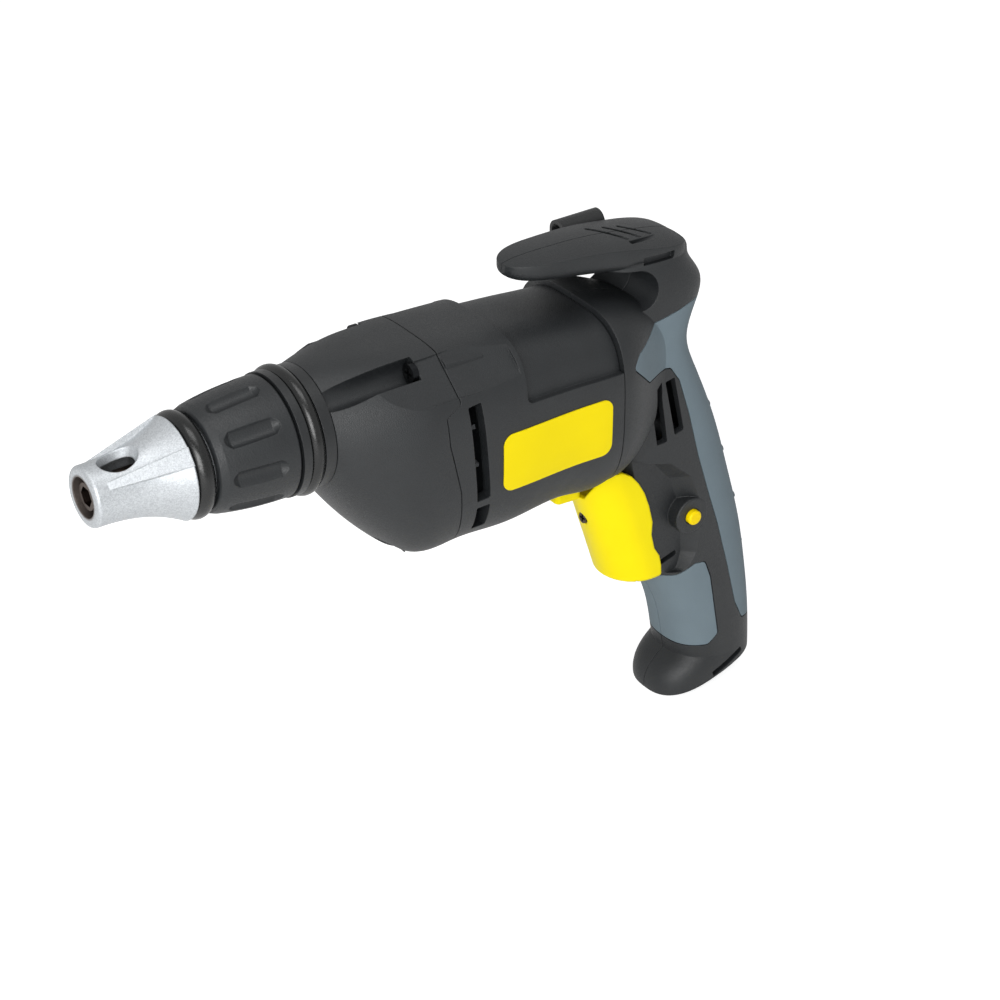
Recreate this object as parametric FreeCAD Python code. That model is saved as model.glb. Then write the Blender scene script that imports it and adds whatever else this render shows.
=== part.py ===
import FreeCAD, Part
import math
import os

os.makedirs("parts", exist_ok=True)
V = FreeCAD.Vector

# Frame: the origin is the centre of the nose tip, X runs back along the spindle,
# Y is the tool's right hand side and Z is up. All sizes are in millimetres.

# Front stack, from the nose tip back to the gear housing
NOSE_LENGTH = 33.4
NOSE_TIP_R = 10.9
NOSE_REAR_R = 18.7
NOSE_BORE_R = 7.2
RING_RISE = 3.0
RING_HALF = 3.7
COLLAR_LENGTH = 30.0
COLLAR_FRONT_R = 18.9
COLLAR_REAR_R = 22.0
COLLAR_FLUTES = 9
STOP_RING_WIDTH = 3.2
STOP_RING_R = 22.5
BEAD_TUBE_R = 2.7
BEAD_OUTER_R = 23.6
FLANGE_WIDTH = 4.2
FLANGE_R = 22.2
DEPTH_TRAVEL = 6.0

# Housings
GEAR_HOUSING_LENGTH = 43.9
FLARE_LENGTH = 34.0
MOTOR_HOUSING_LENGTH = 70.0
BARREL_HALF_WIDTH = 34.2
BARREL_DEPTH = 57.5
SHOULDER_TOP = 22.6
REAR_TOP = 16.8
CREST_RISE = 0.9
REAR_TAPER = 1.0
BODY_TOP_POWER = 3.4
BODY_LOW_POWER = 2.75
WALL = 3.0
MOTOR_WALL = 4.6
SEAM_GAP = 0.4
RECESS_DEPTH = 2.4
SEAM_JOG = 6.4

# Label on each side
LABEL_LENGTH = 48.0
LABEL_HEIGHT = 22.9
LABEL_CORNER_R = 4.2
LABEL_THICK = 0.4

# Gear pair: a small pinion on the motor shaft drives one large gear
MODULE = 0.8
PINION_TEETH = 8
GEAR_TEETH = 40
PRESSURE_DEG = 20.0
TOOTH_SHIFT = 0.5
BACKLASH = 0.14
TIP_RELIEF = 0.16
GEAR_WIDTH = 9.5
MOTOR_DROP = MODULE * (PINION_TEETH + GEAR_TEETH) / 2

# Spindle and clutch
SPINDLE_R = 8.2
JOURNAL_R = 4.3
PUSH_TRAVEL = 2.8
DOG_COUNT = 3
DOG_DEG = 48.0
DOG_OUTER_R = 14.3
DOG_INNER_R = 10.2
HEX_FLATS = 6.35
HOLDER_R = 5.6
RUN_FIT = 0.06
SLIDE_FIT = 0.3

# Motor
SHAFT_R = 4.0
REAR_SHAFT_R = 3.5
FAN_R = 26.4
STATOR_R = 26.8
STATOR_LENGTH = 34.0
ROTOR_R = 14.7
ROTOR_SLOTS = 12
COMMUTATOR_R = 11.2
COMMUTATOR_BARS = 24

# Handle
HANDLE_HALF_GAP = 0.15
GRIP_DEPTH = 1.5
GRIP_GROOVE = 0.4
HEAD_LENGTH = 40.0
HEAD_END_HALF = 15.0
HEAD_TOP = 16.6
NECK_HALF = 12.6
TRIGGER_HALF = 15.2
TRIGGER_WALL = 2.2
TRIGGER_TRAVEL = 6.5
LOCK_TRAVEL = 3.0
LOCK_R = 3.1
SCREW_R = 1.7
HOOK_THICK = 1.5
CORD_R = 4.0

# Places along X that follow from the sizes above
RING_X = NOSE_LENGTH + RING_HALF + 0.1
COLLAR_X = RING_X + RING_HALF + 0.5
COLLAR_END = COLLAR_X + COLLAR_LENGTH
STOP_X = COLLAR_END + SEAM_GAP
BEAD_X = STOP_X + STOP_RING_WIDTH
FLANGE_X = BEAD_X + 2 * BEAD_TUBE_R + 0.2
FLANGE_END = FLANGE_X + FLANGE_WIDTH
GEAR_X = FLANGE_END + 0.3
SEAM_X = GEAR_X + GEAR_HOUSING_LENGTH
MOTOR_END = SEAM_X + SEAM_GAP + MOTOR_HOUSING_LENGTH
HANDLE_X = MOTOR_END + SEAM_GAP
AXIS_Z = -MOTOR_DROP


def save(name, shape):
    shape.exportStep("parts/" + name + ".step")


def group(shapes):
    return Part.makeCompound(shapes)


def cyl_x(r, x0, x1, y=0.0, z=0.0):
    return Part.makeCylinder(r, x1 - x0, V(x0, y, z), V(1, 0, 0))


def tube_x(outer, inner, x0, x1, y=0.0, z=0.0):
    return cyl_x(outer, x0, x1, y, z).cut(cyl_x(inner, x0 - 1, x1 + 1, y, z))


def cyl_y(r, y0, y1, x, z):
    return Part.makeCylinder(r, y1 - y0, V(x, y0, z), V(0, 1, 0))


def cyl_z(r, z0, z1, x, y):
    return Part.makeCylinder(r, z1 - z0, V(x, y, z0), V(0, 0, 1))


def box(x0, x1, y0, y1, z0, z1):
    return Part.makeBox(x1 - x0, y1 - y0, z1 - z0, V(x0, y0, z0))


def hex_x(flats, x0, x1):
    r = flats / math.sqrt(3)
    corners = [V(x0, r * math.cos(k * math.pi / 3), r * math.sin(k * math.pi / 3)) for k in range(7)]
    return Part.Face(Part.makePolygon(corners)).extrude(V(x1 - x0, 0, 0))


def rounded(points, radius):
    """Closed wire through the points with every corner rounded."""
    edges = []
    starts = []
    ends = []
    n = len(points)
    for k in range(n):
        p = points[k]
        u = (points[k - 1] - p).normalize()
        w = (points[(k + 1) % n] - p).normalize()
        half = u.getAngle(w) / 2
        mid = (u + w).normalize()
        reach = radius / math.tan(half)
        a = p + u * reach
        b = p + w * reach
        c = p + mid * (radius / math.sin(half) - radius)
        edges.append(Part.Arc(a, c, b).toShape())
        starts.append(a)
        ends.append(b)
    loop = []
    for k in range(n):
        loop.append(edges[k])
        loop.append(Part.makeLine(ends[k], starts[(k + 1) % n]))
    return Part.Wire(loop)


def side_prism(outline, radius, y0, y1):
    """Block with the given side outline (x, z), from y0 to y1, corners rounded."""
    points = [V(x, y0, z) for x, z in outline]
    if radius > 0:
        wire = rounded(points, radius)
    else:
        wire = Part.makePolygon(points + [points[0]])
    return Part.Face(wire).extrude(V(0, y1 - y0, 0))


def slot_prism(x0, z0, x1, z1, width, y0, y1):
    """Straight slot with square corners between two side-view points."""
    length = math.hypot(x1 - x0, z1 - z0)
    ax = -(z1 - z0) / length * width / 2
    az = (x1 - x0) / length * width / 2
    outline = [(x0 + ax, z0 + az), (x1 + ax, z1 + az), (x1 - ax, z1 - az), (x0 - ax, z0 - az)]
    return side_prism(outline, 0.6, y0, y1)


def revolve_x(profile):
    """Solid of revolution about the spindle axis from (x, r) points."""
    points = [V(x, 0, r) for x, r in profile]
    face = Part.Face(Part.makePolygon(points + [points[0]]))
    return face.revolve(V(0, 0, 0), V(1, 0, 0), 360)


def torus_x(ring_r, tube_r, x, z=0.0):
    return Part.makeTorus(ring_r, tube_r, V(x, 0, z), V(1, 0, 0))


def spin_x(shape, degrees, z=0.0):
    out = shape.copy()
    out.rotate(V(0, 0, z), V(1, 0, 0), degrees)
    return out


# Sections used for the moulded housings: rounded loops joined by a smooth skin
LOOP_POINTS = 24


def polar(a, b, power, turn):
    c = abs(math.cos(turn)) / a
    s = abs(math.sin(turn)) / b
    return (c ** power + s ** power) ** (-1.0 / power)


def loop_wire(points):
    curve = Part.BSplineCurve()
    steps = [float(k) for k in range(len(points) + 1)]
    curve.interpolate(Points=points, PeriodicFlag=True, Parameters=steps)
    return Part.Wire([curve.toShape()])


def cross_loop(x, half, level, top, bottom, power_top, power_bottom, inset):
    """Loop across the tool: widest at the given level, own roundness above and below."""
    points = []
    for k in range(LOOP_POINTS):
        turn = 2 * math.pi * k / LOOP_POINTS
        if math.sin(turn) >= 0:
            r = polar(half - inset, top - inset - level, power_top, turn)
        else:
            r = polar(half - inset, level - bottom - inset, power_bottom, turn)
        points.append(V(x, r * math.cos(turn), level + r * math.sin(turn)))
    return loop_wire(points)


def flat_loop(z, front, rear, half, power, inset):
    """Horizontal loop of the handle between its front and rear."""
    points = []
    mid = (front + rear) / 2
    for k in range(LOOP_POINTS):
        turn = 2 * math.pi * k / LOOP_POINTS
        r = polar((rear - front) / 2 - inset, half - inset, power, turn)
        points.append(V(mid + r * math.cos(turn), r * math.sin(turn), z))
    return loop_wire(points)


def skin(loops):
    return Part.makeLoft(loops, True, False, False, 3)


def ease(t, power):
    t = max(0.0, min(1.0, t))
    return 1 - (1 - t) ** power


# Outer form of the gear housing and motor housing, which share one flowing surface
def body_loop(x, inset):
    t = (x - GEAR_X) / FLARE_LENGTH
    s = max(0.0, (x - SEAM_X) / MOTOR_HOUSING_LENGTH)
    half = FLANGE_R + (BARREL_HALF_WIDTH - FLANGE_R) * ease(t, 1.8) - REAR_TAPER * s
    bottom = -FLANGE_R - (BARREL_DEPTH - FLANGE_R) * ease(t, 1.52) + REAR_TAPER * s
    level = AXIS_Z * ease(t, 1.7)
    hump = 4 * max(0.0, min(1.0, t)) * (1 - max(0.0, min(1.0, t)))
    crest = FLANGE_R + (SHOULDER_TOP - FLANGE_R) * ease(t, 1.0) + CREST_RISE * hump
    crest = crest - (SHOULDER_TOP - REAR_TOP) * s
    power_top = 2 + (BODY_TOP_POWER - 2) * ease(t, 1.0)
    power_low = 2 + (BODY_LOW_POWER - 2) * ease(t, 1.0)
    return cross_loop(x, half, level, crest, bottom, power_top, power_low, inset)


def body_form(inset):
    places = [GEAR_X + FLARE_LENGTH * f for f in (0, 0.1, 0.22, 0.36, 0.52, 0.7, 0.88)]
    places = places + [SEAM_X + MOTOR_HOUSING_LENGTH * f for f in (-0.06, 0.2, 0.5, 0.8)]
    places = places + [MOTOR_END]
    return skin([body_loop(x, inset) for x in places])


body = body_form(0)
body_inner = body_form(WALL)

# Parting line between gear housing and motor housing, with its step on each side
seam_low_x = SEAM_X - SEAM_JOG
seam_line = [
    (SEAM_X, 40),
    (SEAM_X, 7.5),
    (seam_low_x, 4.5),
    (seam_low_x + 0.4, -6),
    (SEAM_X - 1.6, -26),
    (SEAM_X, -48),
    (SEAM_X, -80),
]


def rear_of_seam(shift):
    outline = [(x + shift, z) for x, z in seam_line]
    outline = outline + [(MOTOR_END + 60, -80), (MOTOR_END + 60, 40)]
    return side_prism(outline, 1.4, -60, 60)


rear_side = rear_of_seam(SEAM_GAP)
front_side_cutter = rear_of_seam(0)

# Flattened corner that carries the upper housing screws
FACET_X0 = GEAR_X + 16
FACET_X1 = SEAM_X + 27
facet_cuts = []
for side in (-1, 1):
    corner = [V(FACET_X0, side * 17.0, 21.0), V(FACET_X0, side * 30.6, 9.4), V(FACET_X0, side * 40, 30)]
    facet = Part.Face(Part.makePolygon(corner + [corner[0]])).extrude(V(FACET_X1 - FACET_X0, 0, 0))
    facet_cuts.append(facet)

# Places of the four long housing screws, as (y, z)
SCREW_TOP_Y = 17.6
SCREW_TOP_Z = 17.3
SCREW_LOW_Y = 13.5
SCREW_LOW_Z = -51.0
HOUSING_SCREWS = [
    (-SCREW_TOP_Y, SCREW_TOP_Z),
    (SCREW_TOP_Y, SCREW_TOP_Z),
    (-SCREW_LOW_Y, SCREW_LOW_Z),
    (SCREW_LOW_Y, SCREW_LOW_Z),
]
HOUSING_SCREW_R = 2.0
HOUSING_HEAD_R = 3.5
HOUSING_HEAD_WIDTH = 2.4
TROUGH_R = 4.6

# Inside places of the gear train
SLEEVE_X = COLLAR_X + 11.4
SPINDLE_X = SLEEVE_X + 4.0
SPIGOT_END = GEAR_X + 13.7
DISC_X = SPIGOT_END + 0.5
DISC_WIDTH = 3.8
DOG_LENGTH = PUSH_TRAVEL
DOG_TIP_X = DISC_X + DISC_WIDTH + DOG_LENGTH
GEAR_DOG_X = DOG_TIP_X + 0.8
GEAR_FACE_X = GEAR_DOG_X + 3.0
GEAR_END = GEAR_FACE_X + GEAR_WIDTH
WASHER_X = GEAR_END + 0.1
WASHER_WIDTH = 2.0
PLATE_X = WASHER_X + WASHER_WIDTH + 0.1
PLATE_WIDTH = 8.0
PLATE_END = PLATE_X + PLATE_WIDTH
GEAR_TIP_R = MODULE * GEAR_TEETH / 2 + MODULE * (1 - TOOTH_SHIFT)
GEAR_ROOM_R = GEAR_TIP_R + 1.2
PINION_TIP_R = MODULE * PINION_TEETH / 2 + MODULE * (1 + TOOTH_SHIFT)
PINION_ROOM_R = PINION_TIP_R + 2.4
SPIGOT_R = 16.2
HOUSING_HEAD_X = PLATE_X - 2.0

# Gear housing: glass filled plastic nose of the machine, holds the gear train
gear_housing = body.cut(front_side_cutter)
for facet in facet_cuts:
    gear_housing = gear_housing.cut(facet)
gear_housing = gear_housing.cut(cyl_x(SPIGOT_R, GEAR_X - 1, SPIGOT_END))
gear_room = cyl_x(GEAR_ROOM_R, SPIGOT_END - 0.01, PLATE_X)
pinion_room = cyl_x(PINION_ROOM_R, GEAR_FACE_X - 3, PLATE_X, 0, AXIS_Z)
link_room = box(GEAR_FACE_X - 3, PLATE_X, -PINION_ROOM_R, PINION_ROOM_R, AXIS_Z, 0)
gear_housing = gear_housing.cut(gear_room).cut(pinion_room).cut(link_room)
plate_pocket = body_inner.common(box(PLATE_X, PLATE_END + 0.2, -60, 60, -80, 40))
gear_housing = gear_housing.cut(plate_pocket)
gear_housing = gear_housing.cut(body_inner.common(box(PLATE_END, SEAM_X + 9, -60, 60, -80, 40)))
for y, z in HOUSING_SCREWS:
    trough = cyl_x(TROUGH_R, GEAR_X - 5, HOUSING_HEAD_X, y, z)
    away = V(0, 0.5 * y / abs(y), 0.87) if z > 0 else V(0, 0, -1)
    block = Part.makeBox(HOUSING_HEAD_X - GEAR_X + 5, 2 * TROUGH_R, 20, V(GEAR_X - 5, -TROUGH_R, 0))
    block.rotate(V(0, 0, 0), V(1, 0, 0), math.degrees(math.atan2(-away.y, away.z)))
    block.translate(V(0, y, z))
    gear_housing = gear_housing.cut(trough).cut(block)
    gear_housing = gear_housing.cut(cyl_x(HOUSING_SCREW_R + 0.2, HOUSING_HEAD_X - 1, SEAM_X + 1, y, z))

# Vent pad under the gear housing, with cross slots for the fan's air
PAD_HALF = 8.4
PAD_FRONT_X = GEAR_X + 32.5
PAD_LOW_Z = -BARREL_DEPTH - 3.0
PAD_SLOT = 1.6
pad_side = [
    (PAD_FRONT_X, -53.0), (PAD_FRONT_X + 2.2, PAD_LOW_Z), (SEAM_X - 4.0, PAD_LOW_Z + 0.4),
    (SEAM_X - 0.2, PAD_LOW_Z + 2.4), (SEAM_X - 0.2, -53.0),
]
vent_pad = side_prism(pad_side, 0.9, -PAD_HALF, PAD_HALF)
for k in range(3):
    slot_x = PAD_FRONT_X + 2.8 + k * 2.8
    vent_pad = vent_pad.cut(box(slot_x, slot_x + PAD_SLOT, -PAD_HALF - 1, PAD_HALF + 1, PAD_LOW_Z - 1, PAD_LOW_Z + 1.8))
gear_housing = gear_housing.fuse(vent_pad.cut(body_inner))
save("gear_housing", gear_housing)

# Long housing screws with a cross recess
housing_screws = []
for y, z in HOUSING_SCREWS:
    screw = cyl_x(HOUSING_HEAD_R, HOUSING_HEAD_X - HOUSING_HEAD_WIDTH, HOUSING_HEAD_X, y, z)
    screw = screw.fuse(cyl_x(HOUSING_SCREW_R, HOUSING_HEAD_X, PLATE_END + 14, y, z))
    for w, h in ((0.5, 2.2), (2.2, 0.5)):
        x0 = HOUSING_HEAD_X - HOUSING_HEAD_WIDTH
        screw = screw.cut(box(x0 - 1, x0 + 1.4, y - w, y + w, z - h, z + h))
    housing_screws.append(screw)
save("housing_screws", group(housing_screws))

# Bearing plate: die cast, clamped between the two housings
PLATE_BEARING_R = 11.0
BEARING_WIDTH = 7.0
BUSH_R = 6.8
FRONT_BEARING_X = PLATE_END - BEARING_WIDTH
bearing_plate = body_form(WALL + 0.2).common(box(PLATE_X, PLATE_END, -60, 60, -80, 40))
bearing_plate = bearing_plate.cut(cyl_x(PLATE_BEARING_R, FRONT_BEARING_X, PLATE_END + 1, 0, AXIS_Z))
bearing_plate = bearing_plate.cut(cyl_x(PINION_TIP_R + 1.2, PLATE_X - 1, PLATE_END, 0, AXIS_Z))
bearing_plate = bearing_plate.cut(cyl_x(BUSH_R, PLATE_X - 1, PLATE_END + 1))
for y, z in HOUSING_SCREWS:
    bearing_plate = bearing_plate.cut(cyl_x(HOUSING_SCREW_R + 0.3, PLATE_X - 1, PLATE_END + 1, y, z))
save("bearing_plate", bearing_plate)

# Places inside the motor housing
FAN_X = PLATE_END + 2.6
FAN_WIDTH = 9.4
BAFFLE_X = FAN_X + FAN_WIDTH + 1.2
STATOR_X = BAFFLE_X + 8.0
STATOR_END = STATOR_X + STATOR_LENGTH
COIL_OVERHANG = 4.6
WEB_X = STATOR_END + COIL_OVERHANG + 0.6
WEB_WIDTH = 2.6
BELL_R = 22.0
BELL_INNER_R = 19.6
COMMUTATOR_X = WEB_X + 4.0
COMMUTATOR_LENGTH = 12.0
BRUSH_X = COMMUTATOR_X + COMMUTATOR_LENGTH / 2
BELL_END = COMMUTATOR_X + COMMUTATOR_LENGTH + 3.0
REAR_BEARING_X = BELL_END + 2.8
REAR_BEARING_R = 9.5
REAR_BEARING_WIDTH = 6.0
BOOT_THICK = 1.6
BRUSH_HALF_X = 4.2
BRUSH_HALF_Z = 3.2

# Motor housing: one-piece barrel with its rear bell, stator ribs and screw posts
motor_housing = body.common(rear_side)
for facet in facet_cuts:
    motor_housing = motor_housing.cut(facet)
recess_outline = [
    (SEAM_X + 27.5, -0.6),
    (MOTOR_END + 20, -2.6),
    (MOTOR_END + 20, 40),
    (SEAM_X + 32, 40),
    (SEAM_X + 29, 13),
]
recess = body.cut(body_form(RECESS_DEPTH)).common(side_prism(recess_outline, 2.4, -60, 60))
motor_housing = motor_housing.cut(recess)
motor_room = body_form(MOTOR_WALL)
motor_housing = motor_housing.cut(motor_room).cut(plate_pocket)
inside = []
for deg in (45, 135, 225, 315):
    rib = box(STATOR_X - 1, STATOR_END, -3, 3, STATOR_R + 0.1, 45)
    rib.translate(V(0, 0, AXIS_Z))
    rib = spin_x(rib, deg, AXIS_Z)
    inside.append(rib.common(motor_room).cut(cyl_x(STATOR_R + 0.1, STATOR_X - 2, WEB_X, 0, AXIS_Z)))
web = motor_room.common(box(WEB_X, WEB_X + WEB_WIDTH, -60, 60, -80, 40))
for k in range(8):
    air = cyl_x(3.2, WEB_X - 1, WEB_X + WEB_WIDTH + 1, 0, AXIS_Z + 26.0)
    web = web.cut(spin_x(air, 22.5 + 45 * k, AXIS_Z))
inside.append(web)
inside.append(cyl_x(BELL_R, WEB_X, REAR_BEARING_X, 0, AXIS_Z))
seat_end = REAR_BEARING_X + REAR_BEARING_WIDTH + 0.4
inside.append(cyl_x(REAR_BEARING_R + BOOT_THICK + 2.2, REAR_BEARING_X - 1, seat_end, 0, AXIS_Z))
for y, z in HOUSING_SCREWS:
    inside.append(cyl_x(4.4, PLATE_END + 0.3, PLATE_END + 16, y, z).common(body_form(0.8)).common(rear_side))
motor_housing = motor_housing.fuse(inside)
motor_housing = motor_housing.cut(cyl_x(BELL_INNER_R, WEB_X - 1, BELL_END, 0, AXIS_Z))
motor_housing = motor_housing.cut(cyl_x(7.0, BELL_END - 1, REAR_BEARING_X + 1, 0, AXIS_Z))
motor_housing = motor_housing.cut(cyl_x(REAR_BEARING_R + BOOT_THICK, REAR_BEARING_X, seat_end + 1, 0, AXIS_Z))
brush_window = box(BRUSH_X - BRUSH_HALF_X - 1.2, BRUSH_X + BRUSH_HALF_X + 1.2, -60, 60,
                   AXIS_Z - BRUSH_HALF_Z - 1.2, AXIS_Z + BRUSH_HALF_Z + 1.2)
bell_zone = cyl_x(BELL_R + 0.5, WEB_X + WEB_WIDTH, BELL_END, 0, AXIS_Z)
motor_housing = motor_housing.cut(brush_window.common(bell_zone))
for y, z in HOUSING_SCREWS:
    motor_housing = motor_housing.cut(cyl_x(HOUSING_SCREW_R + 0.05, SEAM_X - 8, PLATE_END + 14.5, y, z))
VENT_WIDTH = 5.6
for y0, y1 in ((-60, -15), (15, 60)):
    long_vent = slot_prism(SEAM_X + 5.6, 5.8, SEAM_X + 8.6, -32.4, VENT_WIDTH, y0, y1)
    short_vent = slot_prism(SEAM_X + 8.8, -35.4, SEAM_X + 9.2, -46.0, VENT_WIDTH, y0, y1)
    motor_housing = motor_housing.cut(long_vent).cut(short_vent)
save("motor_housing", motor_housing)

# Plain label plates, one each side
label_x = SEAM_X + 16.6
label_z = -9.4
label_outline = [
    (label_x, label_z),
    (label_x + LABEL_LENGTH, label_z),
    (label_x + LABEL_LENGTH, label_z - LABEL_HEIGHT),
    (label_x, label_z - LABEL_HEIGHT),
]
label_skin = body_form(-LABEL_THICK).cut(body)
save("side_labels", group([label_skin.common(side_prism(label_outline, LABEL_CORNER_R, *ends))
                           for ends in ((-60, 0), (0, 60))]))

# Nose cone: painted die casting that stops against the board, with a window between two ribs
NOSE_SPIGOT_R = 15.6
NOSE_INNER_R = 12.4
SPIGOT_FRONT_END = SLEEVE_X - 0.6
RIM_R = NOSE_TIP_R - 1.4
WINDOW_DEG = 7.0
WINDOW_X = 12.5
RIB_DEG = 45.0
RIB_X = 5.0
RIB_FRONT_HALF = 1.3
RIB_REAR_HALF = 3.4


def trumpet(x):
    return NOSE_TIP_R + (NOSE_REAR_R - NOSE_TIP_R) * (x / NOSE_LENGTH) ** 2.6


flare_points = [V(x, 0, trumpet(x)) for x in [1.4 + (NOSE_LENGTH - 1.8) * k / 9 for k in range(10)]]
flare_curve = Part.BSplineCurve()
flare_curve.interpolate(flare_points)
rim = Part.Arc(V(0, 0, RIM_R), V(0.41, 0, RIM_R + 0.99), flare_points[0]).toShape()
back_points = [
    flare_points[-1],
    V(NOSE_LENGTH, 0, NOSE_REAR_R - 0.4),
    V(NOSE_LENGTH, 0, NOSE_SPIGOT_R),
    V(SPIGOT_FRONT_END, 0, NOSE_SPIGOT_R),
    V(SPIGOT_FRONT_END, 0, 0),
    V(0, 0, 0),
    V(0, 0, RIM_R),
]
nose_wire = Part.Wire([rim, flare_curve.toShape()] + Part.makePolygon(back_points).Edges)
nose_cone = Part.Face(nose_wire).revolve(V(0, 0, 0), V(1, 0, 0), 360)
rib_line = [(RIB_X, 9.0), (RIB_X, NOSE_TIP_R), (NOSE_LENGTH, NOSE_REAR_R - 0.2), (NOSE_LENGTH, 13.5)]
rib_plan = Part.makePolygon([V(RIB_X, -RIB_FRONT_HALF, 0), V(NOSE_LENGTH, -RIB_REAR_HALF, 0), V(NOSE_LENGTH, RIB_REAR_HALF, 0),
                             V(RIB_X, RIB_FRONT_HALF, 0), V(RIB_X, -RIB_FRONT_HALF, 0)])
rib = side_prism(rib_line, 0, -RIB_REAR_HALF, RIB_REAR_HALF).common(Part.Face(rib_plan).extrude(V(0, 0, 30)))
for deg in (WINDOW_DEG - RIB_DEG, WINDOW_DEG + RIB_DEG):
    nose_cone = nose_cone.fuse(spin_x(rib, deg))
nose_cone = nose_cone.cut(cyl_x(NOSE_BORE_R, -1, 8))
nose_cone = nose_cone.cut(revolve_x([(6, 0), (6, NOSE_BORE_R), (9, 8.0), (22, 9.4), (30, NOSE_INNER_R),
                                     (SPIGOT_FRONT_END + 1, NOSE_INNER_R), (SPIGOT_FRONT_END + 1, 0)]))
window_low = Part.Wire([Part.Ellipse(V(WINDOW_X, 0, 7), 5.8, 4.4).toShape()])
window_high = Part.Wire([Part.Ellipse(V(WINDOW_X, 0, 14), 8.0, 6.8).toShape()])
window = Part.makeLoft([window_low, window_high], True, True)
nose_cone = nose_cone.cut(spin_x(window, WINDOW_DEG))
save("nose_cone", nose_cone)

# Rubber ring between nose cone and collar
RING_LOW_R = 16.2
ring_curve = Part.Arc(V(RING_X - RING_HALF, 0, RING_LOW_R), V(RING_X, 0, RING_LOW_R + RING_RISE),
                      V(RING_X + RING_HALF, 0, RING_LOW_R)).toShape()
ring_base = Part.makePolygon([V(RING_X + RING_HALF, 0, RING_LOW_R), V(RING_X + RING_HALF, 0, NOSE_SPIGOT_R),
                              V(RING_X - RING_HALF, 0, NOSE_SPIGOT_R), V(RING_X - RING_HALF, 0, RING_LOW_R)])
nose_ring = Part.Face(Part.Wire([ring_curve] + ring_base.Edges)).revolve(V(0, 0, 0), V(1, 0, 0), 360)
save("nose_ring", nose_ring)

# Depth collar: turned by hand, its thread moves the nose cone in and out
SLEEVE_R = 14.8
COLLAR_BORE_R = NOSE_SPIGOT_R + SLIDE_FIT
COLLAR_STEP_X = SLEEVE_X + 1.8
FLUTE_R = 3.6
FLUTE_DEPTH = 1.8
FLUTE_TAPER = 2.2


def collar_r(x):
    return COLLAR_FRONT_R + (COLLAR_REAR_R - COLLAR_FRONT_R) * ease((x - COLLAR_X) / COLLAR_LENGTH, 2.2)


collar_profile = [(COLLAR_X, 0), (COLLAR_X, collar_r(COLLAR_X) - 1.2), (COLLAR_X + 0.5, collar_r(COLLAR_X) - 0.3)]
for k in range(1, 10):
    x = COLLAR_X + COLLAR_LENGTH * k / 10.0
    collar_profile.append((x, collar_r(x)))
collar_profile = collar_profile + [(COLLAR_END - 0.8, COLLAR_REAR_R), (COLLAR_END, COLLAR_REAR_R - 0.8), (COLLAR_END, 0)]
depth_collar = revolve_x(collar_profile)
depth_collar = depth_collar.cut(cyl_x(COLLAR_BORE_R, COLLAR_X - 1, COLLAR_STEP_X))
depth_collar = depth_collar.cut(cyl_x(SLEEVE_R + SLIDE_FIT, COLLAR_X, COLLAR_END + 1))
flute_x0 = COLLAR_X + 4.4
flute_x1 = COLLAR_END - 5.2
flute = revolve_x([(flute_x0, 0), (flute_x0, FLUTE_R - 1.5), (flute_x0 + FLUTE_TAPER, FLUTE_R), (flute_x1 - FLUTE_TAPER, FLUTE_R),
                   (flute_x1, FLUTE_R - 1.5), (flute_x1, 0)])
flute_lean = math.degrees(math.atan2(collar_r(flute_x1) - collar_r(flute_x0), flute_x1 - flute_x0))
flute.translate(V(0, 0, collar_r(flute_x0) + FLUTE_R - FLUTE_DEPTH))
flute.rotate(V(flute_x0, 0, collar_r(flute_x0)), V(0, 1, 0), -flute_lean)
for k in range(COLLAR_FLUTES):
    depth_collar = depth_collar.cut(spin_x(flute, 90 + 360.0 * k / COLLAR_FLUTES))
save("depth_collar", depth_collar)

# Front sleeve: die cast snout that carries collar, seal and front spindle bearing
SEAL_X = STOP_X + 0.6
SEAL_WIDTH = 3.2
SEAL_R = 10.6
BEARING_X = SEAL_X + SEAL_WIDTH + 0.3
SPINDLE_BEARING_LENGTH = 17.0
SPINDLE_BEARING_R = 11.2
SLEEVE_BORE_R = SPINDLE_R + 1.0
bead_ring_r = BEAD_OUTER_R - BEAD_TUBE_R
bead_mid_x = BEAD_X + BEAD_TUBE_R + 0.1
front_sleeve = cyl_x(SLEEVE_R, SLEEVE_X, FLANGE_X)
front_sleeve = front_sleeve.fuse(cyl_x(bead_ring_r - BEAD_TUBE_R + 0.6, BEAD_X, FLANGE_X))
front_sleeve = front_sleeve.fuse(cyl_x(FLANGE_R, FLANGE_X, FLANGE_END))
front_sleeve = front_sleeve.fuse(cyl_x(SPIGOT_R - 0.03, FLANGE_END - 1, SPIGOT_END))
front_sleeve = front_sleeve.cut(cyl_x(SLEEVE_BORE_R, SLEEVE_X - 1, SPIGOT_END + 1))
front_sleeve = front_sleeve.cut(cyl_x(SEAL_R, SEAL_X, SEAL_X + SEAL_WIDTH + 0.3))
front_sleeve = front_sleeve.cut(cyl_x(SPINDLE_BEARING_R, BEARING_X, BEARING_X + SPINDLE_BEARING_LENGTH))
front_sleeve = front_sleeve.cut(torus_x(bead_ring_r, BEAD_TUBE_R + 0.02, bead_mid_x))
front_sleeve = front_sleeve.cut(tube_x(SLEEVE_R + 1, SLEEVE_R - 1.0, SLEEVE_X + 0.5, SLEEVE_X + 1.4))
save("front_sleeve", front_sleeve)
save("collar_snap_ring", tube_x(SLEEVE_R + 0.7, SLEEVE_R - 0.95, SLEEVE_X + 0.55, SLEEVE_X + 1.35))
save("collar_stop_ring", tube_x(STOP_RING_R, SLEEVE_R + 0.03, STOP_X, BEAD_X))
save("collar_bead_ring", torus_x(bead_ring_r, BEAD_TUBE_R, bead_mid_x))
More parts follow.
